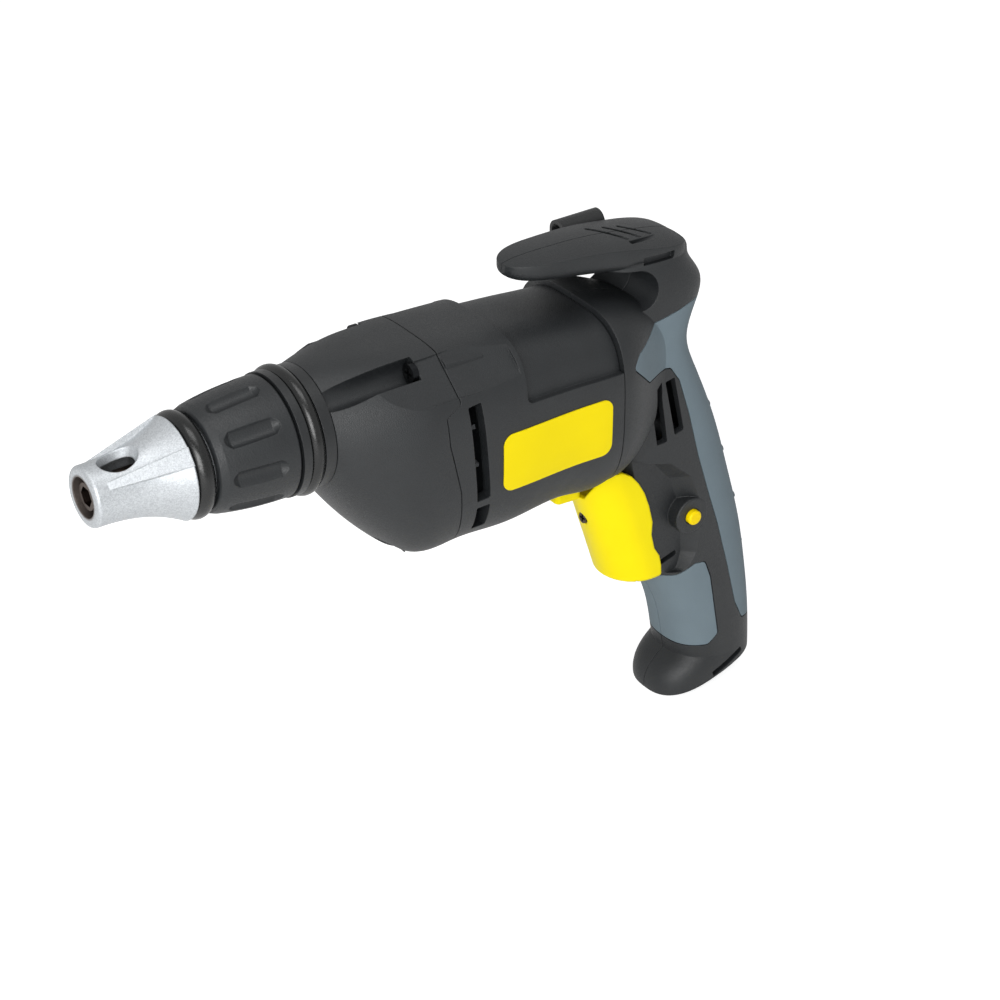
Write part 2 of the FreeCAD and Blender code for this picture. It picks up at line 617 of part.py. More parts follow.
save("spindle_seal", tube_x(SEAL_R - 0.02, SPINDLE_R + RUN_FIT, SEAL_X + 0.05, SEAL_X + SEAL_WIDTH))
save("spindle_bearing", tube_x(SPINDLE_BEARING_R - 0.02, SPINDLE_R + RUN_FIT, BEARING_X + 0.1,
                               BEARING_X + SPINDLE_BEARING_LENGTH - 0.1))

# Bit holder with magnet, and the ball and ring that keep it in the spindle
HOLDER_X = 1.2
HOLDER_END = SPINDLE_X - 0.8
SHANK_END = SPINDLE_X + 15.2
MAGNET_R = 2.6
HOLDER_SOCKET_END = HOLDER_X + 10.0
bit_holder = cyl_x(HOLDER_R, HOLDER_X, HOLDER_END)
bit_holder = bit_holder.makeChamfer(0.7, [e for e in bit_holder.Edges if abs(e.BoundBox.XMax - HOLDER_X) < 0.01])
bit_holder = bit_holder.fuse(hex_x(HEX_FLATS, HOLDER_END - 1, SHANK_END))
bit_holder = bit_holder.cut(hex_x(HEX_FLATS + 0.1, HOLDER_X - 1, HOLDER_SOCKET_END))
bit_holder = bit_holder.cut(cyl_x(MAGNET_R, HOLDER_SOCKET_END - 1, HOLDER_SOCKET_END + 4))
save("bit_holder", bit_holder)
save("bit_magnet", cyl_x(MAGNET_R - 0.02, HOLDER_SOCKET_END + 0.05, HOLDER_SOCKET_END + 3.95))


def dogs(x0, x1, first_deg):
    out = []
    for k in range(DOG_COUNT):
        face = Part.makePolygon([V(x0, 0, DOG_INNER_R), V(x0, 0, DOG_OUTER_R), V(x1, 0, DOG_OUTER_R),
                                 V(x1, 0, DOG_INNER_R), V(x0, 0, DOG_INNER_R)])
        dog = Part.Face(face).revolve(V(0, 0, 0), V(1, 0, 0), DOG_DEG)
        out.append(spin_x(dog, first_deg - DOG_DEG / 2 + 360.0 * k / DOG_COUNT))
    return out


# Spindle with its clutch disc; it slides back when the bit is pushed on a screw
DISC_END = DISC_X + DISC_WIDTH
JOURNAL_END = PLATE_END - PUSH_TRAVEL - 1.4
KEEPER_X = SPINDLE_X + 6.0
BALL_R = 1.9
spindle = cyl_x(SPINDLE_R, SPINDLE_X, DISC_X + 1).fuse(cyl_x(DOG_OUTER_R, DISC_X, DISC_END))
spindle = spindle.fuse(cyl_x(JOURNAL_R, DISC_END - 1, JOURNAL_END))
spindle = spindle.fuse(dogs(DISC_END - 0.5, DOG_TIP_X, 0))
spindle = spindle.cut(hex_x(HEX_FLATS + 0.1, SPINDLE_X - 1, SHANK_END + 0.6))
spindle = spindle.cut(torus_x(SPINDLE_R, 0.72, KEEPER_X))
spindle = spindle.cut(cyl_z(BALL_R + 0.03, 0, SPINDLE_R + 2, KEEPER_X, 0))
save("spindle", spindle)
save("keeper_ball", Part.makeSphere(BALL_R, V(KEEPER_X, 0, HEX_FLATS / 2 + 0.15 + BALL_R)))
save("keeper_ring", torus_x(SPINDLE_R, 0.68, KEEPER_X))


def involute(angle):
    return math.tan(angle) - angle


def gear_outline(teeth, shift, first_deg, x, z):
    """Toothed outline: involute flanks, plain roots, thinned a little for running play."""
    pitch_r = MODULE * teeth / 2
    press = math.radians(PRESSURE_DEG)
    base_r = pitch_r * math.cos(press)
    tip_r = pitch_r + MODULE * (1 + shift) - TIP_RELIEF
    root_r = pitch_r - MODULE * (1.25 - shift)
    thick = MODULE * (math.pi / 2 + 2 * shift * math.tan(press)) - BACKLASH / 2
    half_pitch = thick / (2 * pitch_r) + involute(press)
    edges = []
    first = None
    last = None

    def at(r, turn):
        return V(x, r * math.cos(turn), z + r * math.sin(turn))

    for k in range(teeth):
        mid = math.radians(first_deg) + 2 * math.pi * k / teeth
        radii = [base_r + (tip_r - base_r) * n / 5.0 for n in range(6)]
        spread = [half_pitch - involute(math.acos(min(1.0, base_r / r))) for r in radii]
        rise = [at(r, mid - a) for r, a in zip(radii, spread)]
        fall = [at(r, mid + a) for r, a in zip(radii, spread)][::-1]
        foot_a = at(root_r, mid - spread[0])
        foot_b = at(root_r, mid + spread[0])
        if last is not None:
            edges.append(Part.makeLine(last, foot_a))
        else:
            first = foot_a
        edges.append(Part.makeLine(foot_a, rise[0]))
        up = Part.BSplineCurve()
        up.interpolate(rise)
        edges.append(up.toShape())
        edges.append(Part.Arc(rise[-1], at(tip_r, mid), fall[0]).toShape())
        down = Part.BSplineCurve()
        down.interpolate(fall)
        edges.append(down.toShape())
        edges.append(Part.makeLine(fall[-1], foot_b))
        last = foot_b
    edges.append(Part.makeLine(last, first))
    return Part.Face(Part.Wire(edges))


# Drive gear with the clutch dogs on its front face
drive_gear = gear_outline(GEAR_TEETH, -TOOTH_SHIFT, -90.0, GEAR_FACE_X, 0).extrude(V(GEAR_WIDTH, 0, 0))
drive_gear = drive_gear.fuse(dogs(GEAR_DOG_X, GEAR_FACE_X + 0.5, 180.0 / DOG_COUNT))
drive_gear = drive_gear.cut(cyl_x(JOURNAL_R + RUN_FIT, GEAR_DOG_X - 1, GEAR_END + 1))
save("drive_gear", drive_gear)


def coil(mean_r, wire_r, x0, x1, turns, y=0.0, z=0.0):
    """Round wire spring along X between two flat ends."""
    length = x1 - x0 - 2 * wire_r - 0.3
    steps = int(turns * 16)
    points = []
    for k in range(steps + 1):
        turn = 2 * math.pi * turns * k / steps
        points.append(V(x0 + wire_r + 0.15 + length * k / steps, mean_r * math.cos(turn), mean_r * math.sin(turn)))
    path = Part.BSplineCurve()
    path.interpolate(points)
    wire = Part.Wire([Part.makeCircle(wire_r, points[0], path.tangent(path.FirstParameter)[0])])
    spring = Part.Wire([path.toShape()]).makePipeShell([wire], True, True)
    spring.translate(V(0, y, z))
    return spring


clutch_spring = coil(7.2, 0.7, DISC_END, GEAR_FACE_X, 2.5)
save("clutch_spring", clutch_spring)
save("thrust_washer", tube_x(9.5, JOURNAL_R + SLIDE_FIT, WASHER_X, WASHER_X + WASHER_WIDTH))
save("spindle_bush", tube_x(BUSH_R - 0.02, JOURNAL_R + RUN_FIT, PLATE_X + 0.1, PLATE_END - 0.1))

# Motor shaft with its pinion cut on the front end
PINION_X = GEAR_FACE_X - 1.2
PINION_END = FRONT_BEARING_X - 0.4
SHAFT_END = REAR_BEARING_X + REAR_BEARING_WIDTH
pinion = gear_outline(PINION_TEETH, TOOTH_SHIFT, 90.0 + 180.0 / PINION_TEETH, PINION_X, AXIS_Z)
motor_shaft = pinion.extrude(V(PINION_END - PINION_X, 0, 0))
motor_shaft = motor_shaft.fuse(cyl_x(SHAFT_R, PINION_END - 0.5, BELL_END - 1, 0, AXIS_Z))
motor_shaft = motor_shaft.fuse(cyl_x(REAR_SHAFT_R, BELL_END - 2, SHAFT_END, 0, AXIS_Z))
save("motor_shaft", motor_shaft)


def ball_bearing(x0, width, outer_r, shaft_r, ball_r, count, name):
    """Ball bearing as outer race, inner race and a group of balls."""
    middle_r = (outer_r + shaft_r) / 2
    race = ball_r + 0.06
    save(name + "_outer_race", tube_x(outer_r - 0.02, middle_r + race, x0, x0 + width, 0, AXIS_Z))
    save(name + "_inner_race", tube_x(middle_r - race, shaft_r, x0, x0 + width, 0, AXIS_Z))
    balls = []
    for k in range(count):
        ball = Part.makeSphere(ball_r, V(x0 + width / 2, 0, AXIS_Z + middle_r))
        balls.append(spin_x(ball, 360.0 * k / count, AXIS_Z))
    save(name + "_balls", group(balls))


ball_bearing(FRONT_BEARING_X, BEARING_WIDTH, PLATE_BEARING_R, SHAFT_R, 1.8, 8, "front_bearing")
ball_bearing(REAR_BEARING_X + 0.2, REAR_BEARING_WIDTH - 0.2, REAR_BEARING_R, REAR_SHAFT_R, 1.5, 8, "rear_bearing")
save("rear_bearing_boot", tube_x(REAR_BEARING_R + BOOT_THICK - 0.02, REAR_BEARING_R, REAR_BEARING_X + 0.1,
                                 REAR_BEARING_X + REAR_BEARING_WIDTH, 0, AXIS_Z))

# Cooling fan: moulded, pushes air out of the side vents
FAN_BLADES = 11
FAN_HUB_R = 8.0
cooling_fan = cyl_x(FAN_HUB_R, FAN_X, FAN_X + FAN_WIDTH, 0, AXIS_Z)
cooling_fan = cooling_fan.fuse(cyl_x(FAN_R, FAN_X, FAN_X + 1.8, 0, AXIS_Z))
for k in range(FAN_BLADES):
    blade = box(FAN_X + 1, FAN_X + FAN_WIDTH - 0.6, -0.8, 0.8, AXIS_Z + FAN_HUB_R - 1, AXIS_Z + FAN_R - 0.5)
    cooling_fan = cooling_fan.fuse(spin_x(blade, 360.0 * k / FAN_BLADES, AXIS_Z))
cooling_fan = cooling_fan.cut(cyl_x(SHAFT_R, FAN_X - 1, FAN_X + FAN_WIDTH + 1, 0, AXIS_Z))
save("cooling_fan", cooling_fan)

# Air baffle behind the fan
baffle_zone = body_form(MOTOR_WALL + 0.2).common(box(BAFFLE_X, BAFFLE_X + 1.8, -60, 60, -80, 40))
air_baffle = baffle_zone.cut(cyl_x(18.0, BAFFLE_X - 1, BAFFLE_X + 3, 0, AXIS_Z))
for y, z in HOUSING_SCREWS:
    air_baffle = air_baffle.cut(cyl_x(5.0, BAFFLE_X - 1, BAFFLE_X + 3, y, z))
save("air_baffle", air_baffle)


def sector(r0, r1, x0, x1, half_deg, mid_deg):
    """Ring piece about the motor axis."""
    corners = [V(x0, 0, r0), V(x0, 0, r1), V(x1, 0, r1), V(x1, 0, r0), V(x0, 0, r0)]
    piece = Part.Face(Part.makePolygon(corners)).revolve(V(0, 0, 0), V(1, 0, 0), 2 * half_deg)
    piece = spin_x(piece, mid_deg - half_deg)
    piece.translate(V(0, 0, AXIS_Z))
    return piece


# Stator: laminated core with two pole pieces, and a wound coil round each pole
POLE_DEG = 36.0
COIL_DEG = 62.0
COIL_R0 = 16.6
COIL_R1 = 23.4
BORE_R = ROTOR_R + 0.7
stator_core = tube_x(STATOR_R, BORE_R, STATOR_X, STATOR_END, 0, AXIS_Z)
field_coils = []
for mid in (0.0, 180.0):
    room = sector(COIL_R0 - 0.3, COIL_R1 + 0.3, STATOR_X - 1, STATOR_END + 1, COIL_DEG + 1, mid)
    pole = sector(COIL_R0 - 1, COIL_R1 + 1, STATOR_X - 2, STATOR_END + 2, POLE_DEG, mid)
    stator_core = stator_core.cut(room.cut(pole))
    whole = sector(COIL_R0, COIL_R1, STATOR_X - COIL_OVERHANG, STATOR_END + COIL_OVERHANG, COIL_DEG, mid)
    window = sector(COIL_R0 - 2, COIL_R1 + 2, STATOR_X - 0.3, STATOR_END + 0.3, POLE_DEG + 1, mid)
    field_coils.append(whole.cut(window))
for side in (-1, 1):
    gap = sector(BORE_R - 2, COIL_R0, STATOR_X - 1, STATOR_END + 1, 24.0, 90.0 * side)
    stator_core = stator_core.cut(gap)
save("stator_core", stator_core)
save("field_coils", group(field_coils))

# Rotor: slotted core, end windings and commutator on the shaft
rotor_core = cyl_x(ROTOR_R, STATOR_X, STATOR_END, 0, AXIS_Z)
for k in range(ROTOR_SLOTS):
    slot = box(STATOR_X - 1, STATOR_END + 1, -1.2, 1.2, AXIS_Z + 8.5, AXIS_Z + ROTOR_R + 1)
    rotor_core = rotor_core.cut(spin_x(slot, 360.0 * k / ROTOR_SLOTS, AXIS_Z))
rotor_core = rotor_core.cut(cyl_x(SHAFT_R, STATOR_X - 1, STATOR_END + 1, 0, AXIS_Z))
save("rotor_core", rotor_core)


def winding_end(x0, x1, outer):
    bundle = tube_x(outer, SHAFT_R + 0.6, x0, x1, 0, AXIS_Z)
    return bundle.makeFillet(1.6, [e for e in bundle.Edges if e.Length > 2 * math.pi * outer - 1])


save("rotor_windings", group([
    winding_end(STATOR_X - 4.6, STATOR_X - 0.05, 13.2),
    winding_end(STATOR_END + 0.05, STATOR_END + 5.4, 13.0),
]))
commutator = tube_x(COMMUTATOR_R, SHAFT_R, COMMUTATOR_X, COMMUTATOR_X + COMMUTATOR_LENGTH, 0, AXIS_Z)
for k in range(COMMUTATOR_BARS):
    cut = box(COMMUTATOR_X - 1, COMMUTATOR_X + COMMUTATOR_LENGTH + 1, -0.2, 0.2,
              AXIS_Z + COMMUTATOR_R - 0.8, AXIS_Z + COMMUTATOR_R + 1)
    commutator = commutator.cut(spin_x(cut, 360.0 * (k + 0.5) / COMMUTATOR_BARS, AXIS_Z))
save("commutator", commutator)

# Brush gear: brass holders, carbon brushes and the springs that press them in
HOLDER_Y0 = COMMUTATOR_R + 1.4
HOLDER_Y1 = 27.0
BRUSH_END = HOLDER_Y0 + 9.0
holders = []
brushes = []
brush_springs = []
for side in (-1, 1):
    outer = box(BRUSH_X - BRUSH_HALF_X - 1, BRUSH_X + BRUSH_HALF_X + 1, HOLDER_Y0, HOLDER_Y1,
                AXIS_Z - BRUSH_HALF_Z - 1, AXIS_Z + BRUSH_HALF_Z + 1)
    hollow = box(BRUSH_X - BRUSH_HALF_X, BRUSH_X + BRUSH_HALF_X, HOLDER_Y0 - 1, HOLDER_Y1 - 1.2,
                 AXIS_Z - BRUSH_HALF_Z, AXIS_Z + BRUSH_HALF_Z)
    brush = box(BRUSH_X - BRUSH_HALF_X + 0.1, BRUSH_X + BRUSH_HALF_X - 0.1, COMMUTATOR_R + SLIDE_FIT, BRUSH_END,
                AXIS_Z - BRUSH_HALF_Z + 0.1, AXIS_Z + BRUSH_HALF_Z - 0.1)
    spring = coil(2.2, 0.4, BRUSH_END, HOLDER_Y1 - 1.2, 5)
    spring.rotate(V(0, 0, 0), V(0, 0, 1), 90)
    spring.translate(V(BRUSH_X, 0, AXIS_Z))
    for solid, where in ((outer.cut(hollow), holders), (brush, brushes), (spring, brush_springs)):
        if side < 0:
            solid.rotate(V(BRUSH_X, 0, AXIS_Z), V(0, 0, 1), 180)
        where.append(solid)
save("brush_holders", group(holders))
save("carbon_brushes", group(brushes))
save("brush_springs", group(brush_springs))

# Outer form of the handle: rear head of the barrel, upright column, duck tail and foot
HEAD_HALF = BARREL_HALF_WIDTH - REAR_TAPER
HEAD_BOTTOM = -BARREL_DEPTH + REAR_TAPER


def head_loop(back, inset):
    t = max(0.0, back / HEAD_LENGTH)
    blend = 3 * t ** 2 - 2 * t ** 3
    half = HEAD_HALF - (HEAD_HALF - HEAD_END_HALF) * blend
    top = HEAD_TOP * (1 - t ** 2)
    bottom = HEAD_BOTTOM + 20.6 * t ** 1.8
    return cross_loop(HANDLE_X + back, half, AXIS_Z, top, bottom, BODY_TOP_POWER, BODY_LOW_POWER, inset)


def head_form(inset, start):
    return skin([head_loop(d, inset) for d in [start] + [HEAD_LENGTH * k / 5.0 for k in (1, 2, 3, 4, 5)]])


# Column stations: height, front, rear (both behind the handle seam) and half width
COLUMN = [
    (28.6, 7.0, 46.6, 15.2),
    (26.0, 9.0, 48.0, 15.0),
    (18.0, 8.0, 51.6, 16.7),
    (8.0, 8.0, 53.9, 17.2),
    (0.0, 10.0, 50.4, 17.1),
    (-12.0, 13.0, 48.2, 17.3),
    (-24.0, 15.0, 52.6, 17.7),
    (-45.0, 15.0, 61.8, 18.1),
    (-66.0, 18.0, 69.0, 18.1),
    (-92.0, 25.0, 76.8, 17.7),
    (-117.0, 36.6, 82.0, 17.4),
    (-142.0, 46.2, 85.2, 17.2),
    (-157.0, 49.0, 86.0, 17.2),
    (-176.0, 50.0, 86.4, 17.4),
]
# Tail stations: distance behind the handle seam, half width, underside, top
TAIL = [
    (-30.9, 2.0, 33.6, 36.9),
    (-29.4, 5.2, 32.0, 37.6),
    (-26.0, 7.9, 30.6, 38.1),
    (-20.0, 10.3, 29.4, 38.4),
    (-8.0, 11.9, 27.6, 38.3),
    (6.0, 13.3, 25.6, 37.6),
    (20.0, 14.6, 23.6, 35.8),
    (32.0, 15.2, 22.0, 33.9),
    (39.5, 13.8, 21.0, 32.0),
    (43.0, 11.2, 21.0, 30.2),
]
# Foot stations: height, front, rear and half width
FOOT = [
    (-151.0, 51.5, 84.0, 16.0),
    (-156.0, 48.2, 85.5, 17.0),
    (-160.0, 43.6, 85.8, 17.6),
    (-166.0, 40.0, 84.8, 17.8),
    (-178.0, 42.2, 82.0, 17.0),
]
DOME_HALF = 24.0
DOME_DROP = 5.4
TAIL_OVER = 5.0
# The domed top runs a little past both ends of the tail
DOME = [(-34.0, 0, 0, 36.4)] + TAIL[1:-2] + [(38.5, 0, 0, 32.6), (47.0, 0, 0, 28.8)]
FOOT_TOE = (39.0, -172.2)
FOOT_HEEL = (81.0, -160.6)
FOOT_LEAN = math.atan2(FOOT_HEEL[1] - FOOT_TOE[1], FOOT_HEEL[0] - FOOT_TOE[0])


SCOOP_END = 27.0
SCOOP_R = 7.9
SCOOP_Z = 17.6


def column_form(inset):
    """Upright column, with the round ended scoop under the tail cut out of its front."""
    form = skin([flat_loop(z, HANDLE_X + f, HANDLE_X + r, h, 2.6, inset) for z, f, r, h in COLUMN])
    end = HANDLE_X + SCOOP_END - SCOOP_R
    form = form.cut(slot_prism(HANDLE_X - 40, SCOOP_Z, end, SCOOP_Z, 2 * (SCOOP_R + inset), -40, 40))
    return form.cut(cyl_y(SCOOP_R + inset, -40, 40, end, SCOOP_Z))


def dome_section(x, top):
    """Wide cross section with a gently domed top."""
    low = [V(x, DOME_HALF, top - 30), V(x, -DOME_HALF, top - 30)]
    edge = [V(x, -DOME_HALF, top - DOME_DROP), V(x, DOME_HALF, top - DOME_DROP)]
    sides = [Part.makeLine(edge[1], low[0]), Part.makeLine(low[0], low[1]), Part.makeLine(low[1], edge[0])]
    return Part.Wire(sides + [Part.Arc(edge[0], V(x, 0, top), edge[1]).toShape()])


def tail_form():
    """Tail band with near upright sides, cut off by the domed top, which leaves a crease."""
    loops = []
    for back, half, low, top in TAIL:
        level = low + 0.6 * (top - low)
        loops.append(cross_loop(HANDLE_X + back, half, level, top + TAIL_OVER, low, 3.0, 2.6, 0))
    dome = [dome_section(HANDLE_X + back, top) for back, half, low, top in DOME]
    return skin(loops).common(Part.makeLoft(dome, True, False, False, 3))


def tail_room(wall):
    """Plain hollow inside the tail, left out where the tail is thin."""
    frames = []
    for back, half, low, top in TAIL:
        if top - low < 2 * wall + 2.0:
            continue
        w = half - wall - 1.0
        corners = [(-w, low + wall), (w, low + wall), (w, top - wall), (-w, top - wall), (-w, low + wall)]
        frames.append(Part.makePolygon([V(HANDLE_X + back, y, z) for y, z in corners]))
    return Part.makeLoft(frames, True, True)


def foot_form(inset):
    return skin([flat_loop(z, HANDLE_X + f, HANDLE_X + r, h, 2.6, inset) for z, f, r, h in FOOT])


def below_foot(raise_by):
    slab = Part.makeBox(140, 100, 40, V(-50, -50, -40))
    slab.rotate(V(0, 0, 0), V(0, 1, 0), -math.degrees(FOOT_LEAN))
    slab.translate(V(HANDLE_X + FOOT_TOE[0], 0, FOOT_TOE[1] + raise_by))
    return slab


def left_half_of(shape):
    return shape.common(box(HANDLE_X - 100, HANDLE_X + 140, -80, -HANDLE_HALF_GAP, -220, 80))


def left_form(inset, start, floor_up, tails):
    """Left half of the handle form; the right half is its mirror image."""
    form = left_half_of(column_form(inset)).fuse(left_half_of(head_form(inset, start)))
    for tail in tails:
        form = form.fuse(left_half_of(tail))
    form = form.fuse(left_half_of(foot_form(inset)))
    return form.cut(below_foot(floor_up))


def mirrored(shape):
    return shape.mirror(V(0, 0, 0), V(0, 1, 0))


half_form = left_form(0, 0.0, 0.0, [tail_form()])
half_room = left_form(WALL, -1.0, WALL, [tail_room(WALL)])
half_grip_floor = left_form(GRIP_DEPTH, 0.0, GRIP_DEPTH, [])

# Side outlines on the handle, as (distance behind the seam, height)
REAR_GRIP = [
    (60.0, 7.6), (43.0, 7.3), (27.0, 4.4), (9.0, 1.7), (4.5, -2.5), (16.0, -13.7), (33.2, -17.1), (37.5, -23.5),
    (42.4, -38.7), (47.8, -59.0), (53.4, -76.2), (59.6, -94.0), (65.4, -114.0), (70.7, -134.2), (75.3, -143.6),
    (95.0, -147.0),
]
FRONT_GRIP = [
    (20.0, -112.5), (42.2, -111.6), (49.4, -107.8), (54.2, -108.5), (57.4, -116.8), (62.9, -145.7), (58.5, -150.0),
    (20.0, -150.0),
]
# Hollow for the trigger's side walls, at the neck and further out
POCKET = [
    (4.0, -54.8), (22.0, -54.8), (31.0, -59.5), (38.5, -68.0), (43.0, -80.0), (44.5, -92.0), (45.5, -103.0),
    (43.5, -110.5), (4.0, -110.5),
]
POCKET_OUTER = [
    (4.0, -54.8), (24.0, -54.8), (36.0, -57.5), (46.0, -66.0), (52.0, -79.0), (54.0, -92.0), (51.5, -103.0),
    (46.5, -110.8), (4.0, -110.8),
]
POCKET_WALL = 2.4
POCKET_DEPTH = 7.0
TRIGGER_WINDOW_Z0 = -76.5
TRIGGER_WINDOW_Z1 = -66.5
LOCK_X = 46.0
LOCK_Z = -84.9
LOCK_BOSS_R = 7.6
LOCK_BOSS_Y = 18.2
LEVER_X = 8.2
# Screws through the two handle halves, as (distance behind the seam, height)
HANDLE_SCREWS = [(17.0, -42.0), (43.0, -53.0), (61.7, -116.0), (74.0, -158.0)]
HOOK_SCREWS = [(40.0, 20.5), (40.0, 10.5)]
BOSS_R = 4.2
HEAD_R = 3.0
HEAD_SEAT_Y = 9.0
HOOK_Y = 17.7
HOOK_SCREW_R = 1.9


def place(outline):
    return [(HANDLE_X + x, z) for x, z in outline]


def span(side, near, far):
    """Y range on one side of the tool, from near the middle to far out."""
    return (-far, -near) if side < 0 else (near, far)


def grown(outline, radius, by, y0, y1):
    """Block with the side outline widened all round."""
    wire = rounded([V(x, y0, z) for x, z in place(outline)], radius)
    return Part.Face(wire.makeOffset2D(by)).extrude(V(0, y1 - y0, 0))


foot_mid = V(HANDLE_X + (FOOT_TOE[0] + FOOT_HEEL[0]) / 2, 0, (FOOT_TOE[1] + FOOT_HEEL[1]) / 2)
foot_up = V(-math.sin(FOOT_LEAN), 0, math.cos(FOOT_LEAN))
BUSH_LENGTH = 12.0
BUSH_OUTER_R = 7.0
SOCKET_R = 9.6
CAP_X0 = 52.2
CAP_X1 = 65.0
CAP_Z0 = -141.0
CAP_Z1 = -123.0
CAP_HALF = 8.0
CLAMP_X = (56.0, 76.0)
CLAMP_Z = -145.2
CLAMP_Y = 4.2

SLOT_WIDTH = 4.4
SIDE_SLOTS = [(26.2, -21.0, 30.4, -48.0), (33.0, -21.6, 38.0, -45.3)]
# Shallow slots in the tail top: both ends seen from above, width and floor height
TOP_SLOTS = [
    (10.5, 6.6, 20.0, -7.3, 2.0, 35.0),
    (17.4, 5.4, 25.8, -6.9, 2.0, 34.2),
    (23.4, 4.6, 31.6, -5.6, 2.0, 33.2),
    (18.8, -9.6, 34.6, -7.2, 2.2, 33.4),
]


def top_slot(x0, y0, x1, y1, width, floor):
    """Upright slot cutter between two points seen from above."""
    length = math.hypot(x1 - x0, y1 - y0)
    ax = -(y1 - y0) / length * width / 2
    ay = (x1 - x0) / length * width / 2
    corners = [(x0 + ax, y0 + ay), (x1 + ax, y1 + ay), (x1 - ax, y1 - ay), (x0 - ax, y0 - ay)]
    return Part.Face(rounded([V(x, y, floor) for x, y in corners], 0.8)).extrude(V(0, 0, 12))


def pocket_room(side):
    """Hollow beside the neck for the trigger's side walls, widening outwards."""
    wires = []
    for y, outline in ((NECK_HALF, POCKET), (NECK_HALF + POCKET_DEPTH, POCKET_OUTER)):
        wires.append(rounded([V(x, side * y, z) for x, z in place(outline)], 2.5))
    return Part.makeLoft(wires, True, True)


def half_shell(side):
    """One handle half with its posts, neck wall, slots and holes."""
    form = half_form if side < 0 else mirrored(half_form)
    room = half_room if side < 0 else mirrored(half_room)
    edge = HANDLE_HALF_GAP
    shell = form.cut(room)
    extras = [grown(POCKET_OUTER, 2.5, POCKET_WALL, *span(side, NECK_HALF - POCKET_WALL, 40))]
    for x, z in HANDLE_SCREWS + HOOK_SCREWS:
        extras.append(cyl_y(BOSS_R, *span(side, edge, 40), HANDLE_X + x, z))
    cap_mid = ((CAP_X0 + CAP_X1) / 2, (CAP_Z0 + CAP_Z1) / 2)
    extras.append(cyl_y(4.0, *span(side, CAP_HALF + 0.2, 40), HANDLE_X + cap_mid[0], cap_mid[1]))
    extras.append(Part.makeCylinder(SOCKET_R, BUSH_LENGTH + 2, foot_mid, foot_up))
    for extra in extras:
        shell = shell.fuse(extra.common(form))
    shell = shell.cut(pocket_room(side))
    shell = shell.cut(box(HANDLE_X + 5, HANDLE_X + 30, -4.6, 4.6, TRIGGER_WINDOW_Z0, TRIGGER_WINDOW_Z1))
    shell = shell.cut(cyl_z(2.6, -62, -48, HANDLE_X + LEVER_X, 0))
    for x0, z0, x1, z1 in SIDE_SLOTS:
        shell = shell.cut(slot_prism(HANDLE_X + x0, z0, HANDLE_X + x1, z1, SLOT_WIDTH, *span(side, 8, 40)))
    shell = shell.cut(slot_prism(HANDLE_X + 21.4, 28.7, HANDLE_X + 35.2, 28.3, 3.2, *span(side, 12.9, 40)))
    shell = shell.cut(slot_prism(HANDLE_X + 34.0, -105.4, HANDLE_X + 43.0, -102.8, 2.4, *span(side, 8, 40)))
    shell = shell.cut(slot_prism(HANDLE_X + 60.5, -164.4, HANDLE_X + 75.8, -158.4, 2.6, *span(side, 13.6, 40)))
    for x0, y0, x1, y1, width, floor in TOP_SLOTS:
        shell = shell.cut(top_slot(HANDLE_X + x0, y0, HANDLE_X + x1, y1, width, floor))
    shell = shell.cut(Part.makeCylinder(BUSH_OUTER_R, BUSH_LENGTH, foot_mid, foot_up))
    shell = shell.cut(Part.makeCylinder(CORD_R + 0.6, BUSH_LENGTH + 8, foot_mid, foot_up))
    return shell


# Soft grips moulded into shallow beds in each half
grip_skin = half_form.cut(half_grip_floor)
rear_bed = grip_skin.common(side_prism(place(REAR_GRIP), 2.2, -40, 40))
front_bed = grip_skin.common(side_prism(place(FRONT_GRIP), 2.2, -40, 40))
rear_grip = grip_skin.common(grown(REAR_GRIP, 2.2, -GRIP_GROOVE, -40, 40))
front_grip = grip_skin.common(grown(FRONT_GRIP, 2.2, -GRIP_GROOVE, -40, 40))
save("left_rear_grip", rear_grip)
save("right_rear_grip", mirrored(rear_grip))
save("left_front_grip", front_grip)
save("right_front_grip", mirrored(front_grip))

# Left half: carries the lock button boss, the cord clamp posts and the screw pilots
left_handle = half_shell(-1)
lock_post = cyl_y(LOCK_BOSS_R, -LOCK_BOSS_Y, -NECK_HALF + POCKET_WALL, HANDLE_X + LOCK_X, LOCK_Z)
lock_rim = [e for e in lock_post.Edges if abs(e.BoundBox.YMax + LOCK_BOSS_Y) < 0.01]
left_handle = left_handle.fuse(lock_post.makeFillet(0.7, lock_rim))
left_handle = left_handle.cut(cyl_y(LOCK_R + 0.2, -40, -NECK_HALF + 4, HANDLE_X + LOCK_X, LOCK_Z))
left_handle = left_handle.cut(cyl_y(LOCK_R + 1.6, -15.2, -NECK_HALF + 4, HANDLE_X + LOCK_X, LOCK_Z))
for x in CLAMP_X:
    post = cyl_y(3.2, -40, -1, HANDLE_X + x, CLAMP_Z).common(half_form)
    left_handle = left_handle.fuse(post.fuse(cyl_y(3.2, -1.5, CLAMP_Y - 0.05, HANDLE_X + x, CLAMP_Z)))
    left_handle = left_handle.cut(cyl_y(1.55, -6, CLAMP_Y + 1, HANDLE_X + x, CLAMP_Z))
for x, z in HANDLE_SCREWS:
    left_handle = left_handle.cut(cyl_y(SCREW_R + 0.04, -11.0, 0, HANDLE_X + x, z))
for x, z in HOOK_SCREWS:
    left_handle = left_handle.cut(cyl_y(HOOK_SCREW_R + 0.04, -10.5, 0, HANDLE_X + x, z))
left_handle = left_handle.cut(rear_bed).cut(front_bed)
save("left_handle", left_handle)

